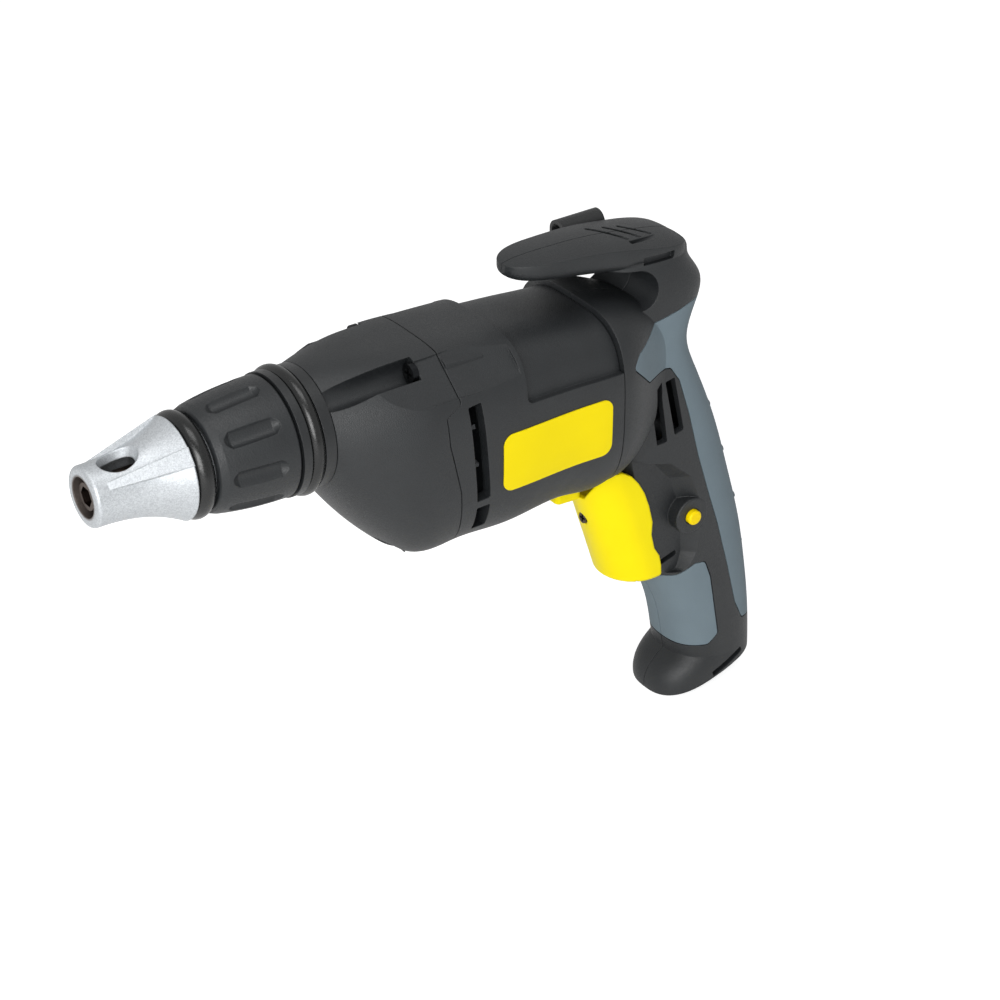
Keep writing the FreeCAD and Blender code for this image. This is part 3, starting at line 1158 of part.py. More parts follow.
# Right half: carries the screw heads and the flat pad for the belt hook
right_handle = half_shell(1)
pad_outline = [(31.0, 26.2), (45.0, 26.2), (47.5, 5.5), (31.0, 5.5)]
right_handle = right_handle.fuse(side_prism(place(pad_outline), 3.0, 11.5, HOOK_Y))
for x, z in HANDLE_SCREWS:
    right_handle = right_handle.cut(cyl_y(SCREW_R + 0.2, -0.5, HEAD_SEAT_Y + 1, HANDLE_X + x, z))
    right_handle = right_handle.cut(cyl_y(HEAD_R + 0.4, HEAD_SEAT_Y, 40, HANDLE_X + x, z))
for x, z in HOOK_SCREWS:
    right_handle = right_handle.cut(cyl_y(HOOK_SCREW_R + 0.2, -0.5, 40, HANDLE_X + x, z))
right_handle = right_handle.cut(mirrored(rear_bed)).cut(mirrored(front_bed))
save("right_handle", right_handle)

# Rubber bush in the cord inlet
cord_bush = Part.makeCylinder(BUSH_OUTER_R - 0.03, BUSH_LENGTH - 0.1, foot_mid + foot_up * 0.05, foot_up)
cord_bush = cord_bush.cut(Part.makeCylinder(CORD_R, BUSH_LENGTH + 4, foot_mid - foot_up * 2, foot_up))
save("cord_inlet_bush", cord_bush)


def pan_screw(r, head_r, head_h, seat_y, tip_y, x, z):
    """Cross head screw driven from the right."""
    screw = cyl_y(head_r, seat_y, seat_y + head_h, x, z).fuse(cyl_y(r, tip_y, seat_y, x, z))
    for w, h in ((0.4, 1.8), (1.8, 0.4)):
        screw = screw.cut(box(x - w, x + w, seat_y + head_h - 1.2, seat_y + head_h + 1, z - h, z + h))
    return screw


save("handle_screws", group([pan_screw(SCREW_R, HEAD_R, 2.0, HEAD_SEAT_Y, -10.8, HANDLE_X + x, z)
                             for x, z in HANDLE_SCREWS]))

# Cord clamp: a bar on two posts of the left half
clamp_bar = box(HANDLE_X + CLAMP_X[0] - 4, HANDLE_X + CLAMP_X[1] + 4, CLAMP_Y, CLAMP_Y + 2.8, CLAMP_Z - 3.2, CLAMP_Z + 3.2)
clamp_screws = []
for x in CLAMP_X:
    clamp_bar = clamp_bar.cut(cyl_y(1.8, 0, 20, HANDLE_X + x, CLAMP_Z))
    clamp_screws.append(pan_screw(1.5, 2.6, 1.6, CLAMP_Y + 2.8, -5.6, HANDLE_X + x, CLAMP_Z))
save("cord_clamp", clamp_bar)
save("cord_clamp_screws", group(clamp_screws))

# Trigger: a thin walled shell round the neck, with a stem into the switch
TRIGGER_TOP_Z = -58.0
TRIGGER_LOW_Z = -110.0
TRIGGER_FLOOR_END = 23.6
TRIGGER_EDGE_R = 2.4
TRIGGER_FLOOR_Z = -105.4
TRIGGER_NOSE_X = HANDLE_X - 0.5
TRIGGER_LEAN = 0.325
STEM_HALF = 3.6
STEM_Z0 = TRIGGER_WINDOW_Z0 + 0.5
STEM_Z1 = STEM_Z0 + 4.6
STEM_END = HANDLE_X + 36.0
TRIGGER_OUTLINE = [
    (-4.8, -72.0), (2.0, -62.4), (4.5, -59.6), (9.7, -56.3), (13.8, -56.4), (18.2, -59.3), (21.6, -63.5), (24.5, -68.5),
    (26.9, -74.9), (28.9, -83.0), (28.6, -88.6), (30.2, -95.2), (32.8, -99.4), (33.8, -104.0), (34.6, -116.0),
    (0.0, -116.0), (-14.0, -85.0),
]
# Notch in the trigger top for the lever: half width and height at its floor and its rim
NOTCH = [(4.6, -69.2), (11.2, -60.0), (11.2, -50.0)]
DIAL_Z = -80.8
DIAL_R = 2.2
DIAL_FLANGE_R = 3.6


def trigger_front(z):
    return TRIGGER_NOSE_X + (TRIGGER_TOP_Z - z) * TRIGGER_LEAN


def trigger_block(half, z_low, z_high):
    """Leaning block with a round front, as seen from above."""
    mid = trigger_front(z_high) + TRIGGER_HALF
    rear = mid + 30
    corners = [V(mid, -half, z_high), V(rear, -half, z_high), V(rear, half, z_high), V(mid, half, z_high)]
    edges = [Part.makeLine(corners[k], corners[k + 1]) for k in range(3)]
    edges.append(Part.Arc(corners[3], V(mid - half, 0, z_high), corners[0]).toShape())
    drop = z_high - z_low
    return Part.Face(Part.Wire(edges)).extrude(V(drop * TRIGGER_LEAN, 0, -drop))


trigger_room_half = TRIGGER_HALF - TRIGGER_WALL
trigger = trigger_block(TRIGGER_HALF, TRIGGER_LOW_Z, -50).common(side_prism(place(TRIGGER_OUTLINE), 0.8, -40, 40))
trigger = trigger.makeFillet(TRIGGER_EDGE_R, [e for e in trigger.Edges if e.BoundBox.ZMax < TRIGGER_LOW_Z + 0.1])
trigger = trigger.cut(trigger_block(trigger_room_half, TRIGGER_FLOOR_Z, -44))
trigger = trigger.cut(box(HANDLE_X + TRIGGER_FLOOR_END, HANDLE_X + 60, -trigger_room_half, trigger_room_half, -115, -100))
notch_points = [V(HANDLE_X - 10, y, z) for y, z in NOTCH] + [V(HANDLE_X - 10, -y, z) for y, z in reversed(NOTCH)]
notch = Part.Face(Part.makePolygon(notch_points + notch_points[:1])).extrude(V(24, 0, 0))
trigger = trigger.cut(notch)
stem_x = trigger_front(STEM_Z1) + 1.0
trigger = trigger.fuse(box(stem_x, STEM_END, -STEM_HALF, STEM_HALF, STEM_Z0, STEM_Z1).cut(
    box(0, trigger_front(STEM_Z0) + 1.4, -9, 9, -90, -60)))
dial_x = trigger_front(DIAL_Z)
trigger = trigger.cut(cyl_x(DIAL_R + 0.3, dial_x - 6, dial_x + 8, 0, DIAL_Z))
save("trigger", trigger)

# Speed dial in the trigger front, turned with a screwdriver
dial_flange_x = trigger_front(DIAL_Z - DIAL_FLANGE_R) + TRIGGER_WALL + 0.9
speed_dial = cyl_x(DIAL_R, dial_x - 0.1, dial_flange_x + 0.5, 0, DIAL_Z)
speed_dial = speed_dial.fuse(cyl_x(DIAL_FLANGE_R, dial_flange_x, dial_flange_x + 1.4, 0, DIAL_Z))
for w, h in ((0.4, 1.6), (1.6, 0.4)):
    speed_dial = speed_dial.cut(box(dial_x - 1, dial_x + 1.2, -w, w, DIAL_Z - h, DIAL_Z + h))
save("speed_dial", speed_dial)

# Reversing lever between trigger and barrel, turning on an upright post
LEVER_POST_R = 2.3
LEVER_HUB_R = 4.2
LEVER_TIP = 16.6
lever_x = HANDLE_X + LEVER_X
tab_x = lever_x - LEVER_TIP
tab_corners = [(tab_x, -4.2), (tab_x, 4.2), (tab_x + 11.4, 5.0), (tab_x + 11.4, -5.0)]
lever_tab = Part.Face(rounded([V(x, y, -68.6) for x, y in tab_corners], 2.4)).extrude(V(0, 0, 5.4))
lever_tab = lever_tab.makeFillet(1.2, [e for e in lever_tab.Edges if e.BoundBox.ZMax < -68.5])
lever = lever_tab.fuse(box(tab_x + 6, lever_x, -3.0, 3.0, -66.2, -62.2))
lever = lever.fuse(cyl_z(LEVER_HUB_R, -66.2, -57.2, lever_x, 0))
lever = lever.fuse(cyl_z(LEVER_POST_R, -58, -50.0, lever_x, 0))
lever = lever.fuse(cyl_z(LEVER_POST_R + 1.5, -51.0, -49.2, lever_x, 0))
save("reversing_lever", lever)

# Lock button with its return spring
lock_x = HANDLE_X + LOCK_X
LOCK_FACE_Y = -20.4
LOCK_BACK_Y = -13.4
LOCK_POCKET_Y = -6.0
LOCK_PIN_R = 1.4
lock_cap = cyl_y(LOCK_R - 0.1, LOCK_FACE_Y, LOCK_BACK_Y, lock_x, LOCK_Z)
lock_edge = [e for e in lock_cap.Edges if abs(e.BoundBox.YMax - LOCK_FACE_Y) < 0.01]
lock_button = lock_cap.makeFillet(0.9, lock_edge)
lock_button = lock_button.fuse(cyl_y(LOCK_R + 1.2, LOCK_BACK_Y - 1.4, LOCK_BACK_Y, lock_x, LOCK_Z))
lock_button = lock_button.fuse(cyl_y(LOCK_PIN_R, LOCK_BACK_Y - 1, LOCK_POCKET_Y - LOCK_TRAVEL - 0.6, lock_x, LOCK_Z))
save("lock_button", lock_button)
lock_spring = coil(2.6, 0.4, LOCK_BACK_Y, LOCK_POCKET_Y, 4.5)
lock_spring.rotate(V(0, 0, 0), V(0, 0, 1), 90)
lock_spring.translate(V(lock_x, 0, LOCK_Z))
save("lock_spring", lock_spring)

# Switch behind the trigger, held between the neck walls
SWITCH_HALF = NECK_HALF - POCKET_WALL - 0.2
SWITCH_X0 = HANDLE_X + 33.0
SWITCH_X1 = HANDLE_X + 53.0
switch_body = box(SWITCH_X0, SWITCH_X1, -SWITCH_HALF, SWITCH_HALF, -92, -60)
switch_body = switch_body.cut(box(SWITCH_X0 - 1, STEM_END + TRIGGER_TRAVEL + 1.5, -STEM_HALF - 0.6, STEM_HALF + 0.6,
                                  STEM_Z0 - 0.6, STEM_Z1 + 0.6))
switch_body = switch_body.cut(cyl_y(4.0, -SWITCH_HALF - 1, LOCK_POCKET_Y, lock_x, LOCK_Z))
for y in (-5.0, 5.0):
    switch_body = switch_body.fuse(box(SWITCH_X1 - 3.5, SWITCH_X1 - 2.7, y - 2.4, y + 2.4, -98.0, -91.5))
save("switch_body", switch_body)

# Interference capacitor in the lower handle
save("capacitor", box(HANDLE_X + CAP_X0, HANDLE_X + CAP_X1, -CAP_HALF, CAP_HALF, CAP_Z0, CAP_Z1))

# Belt hook: one bent strap, screwed to the pad on the right half
HOOK_X0 = HANDLE_X + 9.8
HOOK_X1 = HANDLE_X + 28.6
HOOK_ARCH_Z = 29.6
HOOK_GAP = 6.0
HOOK_LEG_Z = 12.0
HOOK_TIP_Z = 8.0
HOOK_FLARE = 2.0
HOOK_OUTLINE = [
    (9.8, HOOK_ARCH_Z), (28.6, HOOK_ARCH_Z), (32.0, 25.4), (44.4, 25.4), (46.8, 6.2), (31.5, 6.2), (26.0, 15.0), (9.8, 15.0),
]
hook_y = HOOK_Y + 0.02
hook_mid_y = hook_y + HOOK_THICK + HOOK_GAP / 2
far_y = hook_mid_y + HOOK_GAP / 2
near_leg = side_prism(place(HOOK_OUTLINE), 0.7, hook_y, hook_y + HOOK_THICK)
near_leg = near_leg.fuse(box(HOOK_X0, HOOK_X1, hook_y, hook_y + HOOK_THICK, HOOK_ARCH_Z - 6, HOOK_ARCH_Z))
arch = tube_x(HOOK_GAP / 2 + HOOK_THICK, HOOK_GAP / 2, HOOK_X0, HOOK_X1, hook_mid_y, HOOK_ARCH_Z)
arch = arch.common(box(HOOK_X0 - 1, HOOK_X1 + 1, 0, 60, HOOK_ARCH_Z, HOOK_ARCH_Z + 20))
far_points = [
    (far_y, HOOK_ARCH_Z), (far_y + HOOK_THICK, HOOK_ARCH_Z), (far_y + HOOK_THICK, HOOK_LEG_Z),
    (far_y + HOOK_THICK + HOOK_FLARE, HOOK_TIP_Z), (far_y + HOOK_FLARE, HOOK_TIP_Z), (far_y, HOOK_LEG_Z),
]
far_wire = Part.makePolygon([V(HOOK_X0, y, z) for y, z in far_points + far_points[:1]])
belt_hook = near_leg.fuse(arch).fuse(Part.Face(far_wire).extrude(V(HOOK_X1 - HOOK_X0, 0, 0)))
for x, z in HOOK_SCREWS:
    belt_hook = belt_hook.cut(cyl_y(HOOK_SCREW_R + 0.2, 0, 40, HANDLE_X + x, z))
save("belt_hook", belt_hook)
save("belt_hook_screws", group([pan_screw(HOOK_SCREW_R, 3.4, 2.0, hook_y + HOOK_THICK, -10.3, HANDLE_X + x, z)
                                for x, z in HOOK_SCREWS]))
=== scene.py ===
import bpy
import numpy as np
from mathutils import Matrix, Vector


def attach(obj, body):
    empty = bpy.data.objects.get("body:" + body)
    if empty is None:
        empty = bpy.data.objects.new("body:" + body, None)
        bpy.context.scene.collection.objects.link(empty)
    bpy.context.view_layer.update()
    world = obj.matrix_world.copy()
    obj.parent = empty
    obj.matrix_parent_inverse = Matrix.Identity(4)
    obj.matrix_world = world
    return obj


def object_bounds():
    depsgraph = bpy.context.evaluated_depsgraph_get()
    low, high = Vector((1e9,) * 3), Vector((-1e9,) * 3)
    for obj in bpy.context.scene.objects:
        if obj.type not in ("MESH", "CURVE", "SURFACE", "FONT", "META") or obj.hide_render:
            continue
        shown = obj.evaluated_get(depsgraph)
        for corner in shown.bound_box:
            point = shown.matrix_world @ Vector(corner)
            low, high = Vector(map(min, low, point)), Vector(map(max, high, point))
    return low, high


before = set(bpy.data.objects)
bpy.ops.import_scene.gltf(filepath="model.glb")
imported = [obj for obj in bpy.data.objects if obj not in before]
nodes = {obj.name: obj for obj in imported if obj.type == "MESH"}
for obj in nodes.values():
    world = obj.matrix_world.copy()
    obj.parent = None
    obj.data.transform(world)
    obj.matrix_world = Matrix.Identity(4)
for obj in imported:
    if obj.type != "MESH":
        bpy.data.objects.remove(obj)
cad_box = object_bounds()


# Motor iron: stator ring and rotor core, each a stack of punched electrical sheet.
# The sheets are 0.5 mm thick, pressed together on the shaft and in the housing.
def colour(code):
    """Linear colour from an sRGB hex code."""
    parts = [int(code[k:k + 2], 16) / 255 for k in (1, 3, 5)]
    return [p / 12.92 if p <= 0.04045 else ((p + 0.055) / 1.055) ** 2.4 for p in parts] + [1.0]


def add(tree, kind, links=(), **values):
    """Adds one shader node, sets its inputs or properties, and links (output, input) pairs into it."""
    node = tree.nodes.new(kind)
    for name, value in values.items():
        if hasattr(node, name):
            setattr(node, name, value)
        else:
            node.inputs[name.replace("_", " ")].default_value = value
    for output, socket in links:
        tree.links.new(output, node.inputs[socket])
    return node


# Sockets of a mix node that mixes colours: its share, its two colours and its result
mix_share, mix_low, mix_high, mix_result = 0, 6, 7, 2


def begin(name, **values):
    """Starts a material with constant shader values.

    It gives the material, its tree, its shader and the object coordinates.
    """
    made = bpy.data.materials.new(name)
    made.use_nodes = True
    tree = made.node_tree
    shader = tree.nodes["Principled BSDF"]
    for socket, value in values.items():
        shader.inputs[socket.replace("_", " ")].default_value = value
    return made, tree, shader, add(tree, "ShaderNodeTexCoord").outputs["Object"]


def streaked(name, low, high, rough, pitch_mm, stretch, depth, **values):
    """A finish with fine lines across one axis, in two tones.

    stretch holds how often the pattern repeats along X, Y and Z, as a share of once every pitch_mm.
    """
    gloss_spread = 0.08
    relief_m = 0.0002
    made, tree, shader, where = begin(name, **values)
    often = [1000 / pitch_mm * s for s in stretch]
    turned = add(tree, "ShaderNodeMapping", [(where, "Vector")], Scale=often)
    lines = add(tree, "ShaderNodeTexNoise", [(turned.outputs["Vector"], "Vector")], Scale=1.0, Detail=3.0)
    tint = add(tree, "ShaderNodeMix", [(lines.outputs["Fac"], mix_share)], data_type="RGBA")
    tint.inputs[mix_low].default_value = colour(low)
    tint.inputs[mix_high].default_value = colour(high)
    tree.links.new(tint.outputs[mix_result], shader.inputs["Base Color"])
    gloss = add(tree, "ShaderNodeMapRange", [(lines.outputs["Fac"], "Value")],
                To_Min=rough - gloss_spread, To_Max=rough + gloss_spread)
    tree.links.new(gloss.outputs["Result"], shader.inputs["Roughness"])
    bump = add(tree, "ShaderNodeBump", [(lines.outputs["Fac"], "Height")], Strength=depth, Distance=relief_m)
    tree.links.new(bump.outputs["Normal"], shader.inputs["Normal"])
    return made


def dress(material, *names):
    """Gives each named CAD node this one material."""
    for name in names:
        nodes[name].data.materials.clear()
        nodes[name].data.materials.append(material)


# Silicon steel sheet, varnished: dark satin grey with the edge of each sheet as a line
sheet_stack = streaked("varnished_electrical_sheet", "#4B4E52", "#7C8085", rough=0.48, pitch_mm=0.5,
                       stretch=(1, 0.02, 0.02), depth=0.4, Metallic=0.9)
dress(sheet_stack, "stator_core", "rotor_core")

# Motor windings and commutator: enamelled copper wire laid in rows, and hard copper bars.
# The wire is about 0.6 mm thick; it is dipped in resin, so it looks brown and half glossy.
enamelled_wire = streaked("enamelled_copper_wire", "#7A3A1C", "#B4652F", rough=0.36, pitch_mm=0.6,
                          stretch=(0.1, 1, 1), depth=0.5, Metallic=0.85)
dress(enamelled_wire, "field_coils", "rotor_windings")
# Hard drawn copper, turned after assembly: bright, with rings round the shaft
turned_copper = streaked("turned_copper", "#B0663F", "#CF8257", rough=0.30, pitch_mm=0.3,
                         stretch=(1, 0.03, 0.03), depth=0.2, Metallic=1.0)
dress(turned_copper, "commutator")

# Steel of the drive: shaft, gear, spindle, clutch parts, bearings, springs and rings.
# Turned and ground, so fine rings run round the axis and the metal is bright and lightly oiled.
ground_steel = streaked("ground_bearing_steel", "#A3A6A9", "#BEC1C4", rough=0.24, pitch_mm=0.3,
                        stretch=(1, 0.05, 0.05), depth=0.12, Metallic=1.0)
dress(ground_steel, "motor_shaft", "spindle", "drive_gear", "thrust_washer", "keeper_ball",
      "front_bearing_outer_race", "front_bearing_inner_race", "front_bearing_balls",
      "rear_bearing_outer_race", "rear_bearing_inner_race", "rear_bearing_balls")
# Spring wire, drawn: grey, with lines along the wire that show as faint streaks
spring_wire = streaked("drawn_spring_wire", "#6E7174", "#8E9194", rough=0.34, pitch_mm=0.25,
                       stretch=(0.3, 1, 1), depth=0.15, Metallic=1.0)
dress(spring_wire, "clutch_spring", "keeper_ring", "collar_snap_ring", "brush_springs", "lock_spring")
# Nickel plated magnet: paler and smoother than the steel round it
nickel_plate = streaked("nickel_plated_magnet", "#BEB9AE", "#CFCABF", rough=0.20, pitch_mm=0.6,
                        stretch=(1, 1, 1), depth=0.05, Metallic=1.0)
dress(nickel_plate, "bit_magnet")
# Sintered bronze, oil soaked: matt brown yellow with open pores of about 0.1 mm, drawn at 0.3 mm to show
sintered_bronze = streaked("sintered_bronze", "#7B5C33", "#A07C48", rough=0.46, pitch_mm=0.3,
                           stretch=(1, 1, 1), depth=0.35, Metallic=1.0)
dress(sintered_bronze, "spindle_bush", "spindle_bearing")

# Bit holder, speed dial and all screws: hardened steel, turned, then blackened in hot salts.
# The oxide is brown black and satin, and the lathe rings of the turned sides stay visible.
black_oxide = streaked("black_oxide_steel", "#3A322D", "#5E5048", rough=0.33, pitch_mm=0.4,
                       stretch=(1, 0.05, 0.05), depth=0.2, Metallic=1.0)
dress(black_oxide, "bit_holder", "speed_dial")
# Machine screws are darker, because their coat is a thicker phosphate
phosphated_steel = streaked("phosphated_steel", "#17181A", "#26282A", rough=0.45, pitch_mm=0.4,
                            stretch=(1, 1, 1), depth=0.2, Metallic=0.9)
dress(phosphated_steel, "housing_screws", "handle_screws", "belt_hook_screws", "cord_clamp_screws")

# Bearing plate: die cast aluminium between gear housing and motor, left as cast and shot blasted.
# It looks pale grey and matt, with a grain of about 0.5 mm.
cast_aluminium = streaked("die_cast_aluminium", "#8E9193", "#A8ABAD", rough=0.50, pitch_mm=0.5,
                          stretch=(1, 1, 1), depth=0.4, Metallic=1.0)
dress(cast_aluminium, "bearing_plate")

# Brushes: pressed carbon with graphite, which is black grey and half metallic.
# They sit in their holders beside the commutator, pushed by the brush springs.
pressed_carbon = streaked("pressed_carbon", "#232425", "#343536", rough=0.52, pitch_mm=0.4,
                          stretch=(1, 1, 1), depth=0.2, Metallic=0.3)
dress(pressed_carbon, "carbon_brushes")


# Housings and handle halves: black nylon with glass fibre, injection moulded in spark eroded tools.
# The grain of the tool is about 0.4 mm, which breaks the reflections into fine grey speckle.
def moulded(name, low, high, rough, grain_mm, depth, edge_mm, **values):
    """A moulded finish: two tones in broad clouds, a fine grain in bump and gloss, and rounded edges."""
    clouds_per_m = 90.0
    grain_low, grain_high = 0.3, 0.7
    gloss_spread = 0.1
    relief_m = 0.0002
    made, tree, shader, where = begin(name, **values)
    clouds = add(tree, "ShaderNodeTexNoise", [(where, "Vector")], Scale=clouds_per_m, Detail=4.0)
    tint = add(tree, "ShaderNodeMix", [(clouds.outputs["Fac"], mix_share)], data_type="RGBA")
    tint.inputs[mix_low].default_value = colour(low)
    tint.inputs[mix_high].default_value = colour(high)
    tree.links.new(tint.outputs[mix_result], shader.inputs["Base Color"])
    grain = add(tree, "ShaderNodeTexNoise", [(where, "Vector")], Scale=1000 / grain_mm, Detail=2.0)
    gloss = add(tree, "ShaderNodeMapRange", [(grain.outputs["Fac"], "Value")],
                From_Min=grain_low, From_Max=grain_high,
                To_Min=rough - gloss_spread, To_Max=rough + gloss_spread)
    tree.links.new(gloss.outputs["Result"], shader.inputs["Roughness"])
    edge = add(tree, "ShaderNodeBevel", Radius=edge_mm / 1000, samples=6)
    bump = add(tree, "ShaderNodeBump", [(grain.outputs["Fac"], "Height"), (edge.outputs["Normal"], "Normal")],
               Strength=depth, Distance=relief_m)
    tree.links.new(bump.outputs["Normal"], shader.inputs["Normal"])
    return made


black_nylon = moulded("black_glass_filled_nylon", "#16181A", "#202325", rough=0.50, grain_mm=0.4,
                      depth=0.6, edge_mm=0.5)
dress(black_nylon, "gear_housing", "motor_housing", "left_handle", "right_handle")
# The same nylon inside and at the front, moulded in smoother tools
smooth_nylon = moulded("black_nylon_smooth_tool", "#17191A", "#1F2123", rough=0.42, grain_mm=0.6,
                       depth=0.25, edge_mm=0.3)
dress(smooth_nylon, "front_sleeve", "collar_stop_ring", "air_baffle", "brush_holders", "cord_clamp",
      "switch_body")
# Fan and capacitor: grey polyester, moulded, plain and half glossy
grey_polyester = moulded("grey_moulded_polyester", "#5B5E60", "#686B6D", rough=0.42, grain_mm=0.6,
                         depth=0.15, edge_mm=0.3)
dress(grey_polyester, "cooling_fan", "capacitor")

# Side labels: yellow film of 0.4 mm with rounded corners, glued on the housing's sides, with no print.
# The film is smooth, so it shows soft broad reflections.
label_film = moulded("yellow_label_film", "#F2DA00", "#F7E000", rough=0.40, grain_mm=0.8,
                     depth=0.06, edge_mm=0.2, Specular_IOR_Level=0.15)
dress(label_film, "side_labels")

# Rubber rings, seals and the cord bush: nitrile rubber, pressed in polished moulds.
# They are deep black and glossy, with a sharp streak of light along each ring.
nitrile = moulded("black_nitrile_rubber", "#0E0F0F", "#141515", rough=0.27, grain_mm=0.7,
                  depth=0.06, edge_mm=0.3)
dress(nitrile, "nose_ring", "collar_bead_ring", "spindle_seal", "rear_bearing_boot", "cord_inlet_bush")

# Depth collar: black acetal, moulded in one piece with nine flutes for the fingers.
# Its tool was etched coarser than the housing's, with a grain of about 0.6 mm.
black_acetal = moulded("black_etched_acetal", "#17191B", "#212426", rough=0.48, grain_mm=0.6,
                       depth=0.6, edge_mm=0.6)
dress(black_acetal, "depth_collar")

# Nose cone: zinc die casting, sprayed with silver paint whose aluminium flakes are about 0.05 mm.
# The flakes are drawn at 0.35 mm, as points of different brightness, or they would not show.
# The bore is painted dark grey brown up to 7.3 mm from the axis, as painted shade inside the bore, and silver
# from 8.2 mm on.
flake_mm = 0.35
bore_shade_to_m, silver_from_m = 0.0073, 0.0082
cast_edge_m = 0.0007
flake_relief_m = 0.0001
flake_rough_low, flake_rough_high = 0.38, 0.56
silver_paint, tree, shader, where = begin("silver_flake_paint", Metallic=0.55, Coat_Weight=0.15)
flakes = add(tree, "ShaderNodeTexVoronoi", [(where, "Vector")], Scale=1000 / flake_mm)
flake_tone = add(tree, "ShaderNodeSeparateColor", [(flakes.outputs["Color"], "Color")])
paint_tone = add(tree, "ShaderNodeMix", [(flake_tone.outputs["Red"], mix_share)], data_type="RGBA")
paint_tone.inputs[mix_low].default_value = colour("#B2B6BA")
paint_tone.inputs[mix_high].default_value = colour("#CDD1D4")
off_axis = add(tree, "ShaderNodeVectorMath", [(where, 0)], operation="MULTIPLY")
off_axis.inputs[1].default_value = (0, 1, 1)
radius = add(tree, "ShaderNodeVectorMath", [(off_axis.outputs["Vector"], 0)], operation="LENGTH")
outside_bore_shade = add(tree, "ShaderNodeMapRange", [(radius.outputs["Value"], "Value")],
              From_Min=bore_shade_to_m, From_Max=silver_from_m)
# Painted shade in the bore: dark grey brown near the axis, fading to the silver paint between 7.3 and 8.2 mm.
bore_shade_or_paint = add(tree, "ShaderNodeMix", [(outside_bore_shade.outputs["Result"], mix_share)], data_type="RGBA")
bore_shade_or_paint.inputs[mix_low].default_value = colour("#5A524D")
tree.links.new(paint_tone.outputs[mix_result], bore_shade_or_paint.inputs[mix_high])
tree.links.new(bore_shade_or_paint.outputs[mix_result], shader.inputs["Base Color"])
flake_gloss = add(tree, "ShaderNodeMapRange", [(flake_tone.outputs["Green"], "Value")],
                  To_Min=flake_rough_low, To_Max=flake_rough_high)
tree.links.new(flake_gloss.outputs["Result"], shader.inputs["Roughness"])
cast_edge = add(tree, "ShaderNodeBevel", Radius=cast_edge_m, samples=6)
flake_tilt = add(tree, "ShaderNodeBump",
                 [(flake_tone.outputs["Blue"], "Height"), (cast_edge.outputs["Normal"], "Normal")],
                 Strength=0.25, Distance=flake_relief_m)
tree.links.new(flake_tilt.outputs["Normal"], shader.inputs["Normal"])
dress(silver_paint, "nose_cone")

# Soft grips: grey thermoplastic rubber, moulded over recesses in both handle halves.
# The skin is matt and even, with a grain of about 0.3 mm, and it reflects less than the nylon.
soft_rubber = moulded("grey_soft_overmould", "#6B7981", "#73828A", rough=0.66, grain_mm=0.3,
                      depth=0.25, edge_mm=0.5, Specular_IOR_Level=0.3)
dress(soft_rubber, "left_rear_grip", "right_rear_grip", "left_front_grip", "right_front_grip")

# Ribs on the back of the rear grips: five on each side, moulded in one with the grip.
# They are 1.2 mm wide and about 0.2 mm high.
# Each one runs from the side of the grip round its back and rises by about 4 mm on the way.
handle_x_m = 0.1998
rib_height_m = np.array([-0.0462, -0.0681, -0.0914, -0.1140, -0.1374])
rib_back_m = handle_x_m + np.array([0.0622, 0.0697, 0.0766, 0.0815, 0.0848])
rib_above_m = 0.0002
rib_thick_m = 0.0005


def rib_strips(side, along=24, across=4, half_width=0.0006, reach=0.009, half_grip=0.012, rise=0.004,
               sweep_deg=83):
    """Flat strips near the grip, each along a quarter ellipse round the back, from the side to near the seam.

    With t from 0 to 1 along a strip and w from -1 to 1 across it, and the angle as t times the sweep,
    x is the back less the reach times (1 - sine of the angle),
    y is the side times half the grip's width times the cosine of the angle,
    and z is the strip's height plus the rise times (t - 0.5) plus the half width times w.
    """
    t = np.linspace(0, 1, along)[None, :, None]
    w = np.linspace(-1, 1, across)[None, None, :]
    angle = np.radians(sweep_deg) * t
    x = rib_back_m[:, None, None] - reach * (1 - np.sin(angle)) + 0 * w
    y = side * half_grip * np.cos(angle) + 0 * x
    z = rib_height_m[:, None, None] + rise * (t - 0.5) + half_width * w + 0 * x
    points = np.stack([x, y, z], axis=-1).reshape(-1, 3)
    strip = np.arange(len(rib_back_m))[:, None, None] * along * across
    first = strip + np.arange(along - 1)[None, :, None] * across + np.arange(across - 1)[None, None, :]
    corners = [first, first + across, first + across + 1, first + 1]
    faces = np.stack(corners[::-1] if side < 0 else corners, axis=-1).reshape(-1, 4)
    mesh = bpy.data.meshes.new("grip_ribs")
    mesh.from_pydata(points.tolist(), [], faces.tolist())
    mesh.shade_smooth()
    return mesh


for name, side in (("left", -1), ("right", 1)):
    ribs = bpy.data.objects.new(name + "_grip_ribs", rib_strips(side))
    bpy.context.scene.collection.objects.link(ribs)
    ribs.data.materials.append(soft_rubber)
    laid = ribs.modifiers.new("laid_on_grip", "SHRINKWRAP")
    laid.target = nodes[name + "_rear_grip"]
    laid.wrap_method = "NEAREST_SURFACEPOINT"
    laid.wrap_mode = "ABOVE_SURFACE"
    laid.offset = rib_above_m
    thick = ribs.modifiers.new("thickness", "SOLIDIFY")
    thick.thickness = rib_thick_m
    thick.offset = -1.0
    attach(ribs, "housing")

# Trigger and reversing lever: yellow ABS, moulded in polished tools, with rounded edges.
# The colour is strong and even, and the surface half glossy.
yellow_abs = moulded("yellow_abs", "#FAE400", "#FFEC00", rough=0.42, grain_mm=0.7,
                     depth=0.10, edge_mm=1.0, Specular_IOR_Level=0.15)
dress(yellow_abs, "trigger", "reversing_lever")
# Lock button: deeper yellow acetal, so that it stands out from the trigger
amber_acetal = moulded("amber_acetal", "#FAD800", "#FFE200", rough=0.36, grain_mm=0.7,
                       depth=0.08, edge_mm=0.6, Specular_IOR_Level=0.15)
dress(amber_acetal, "lock_button")

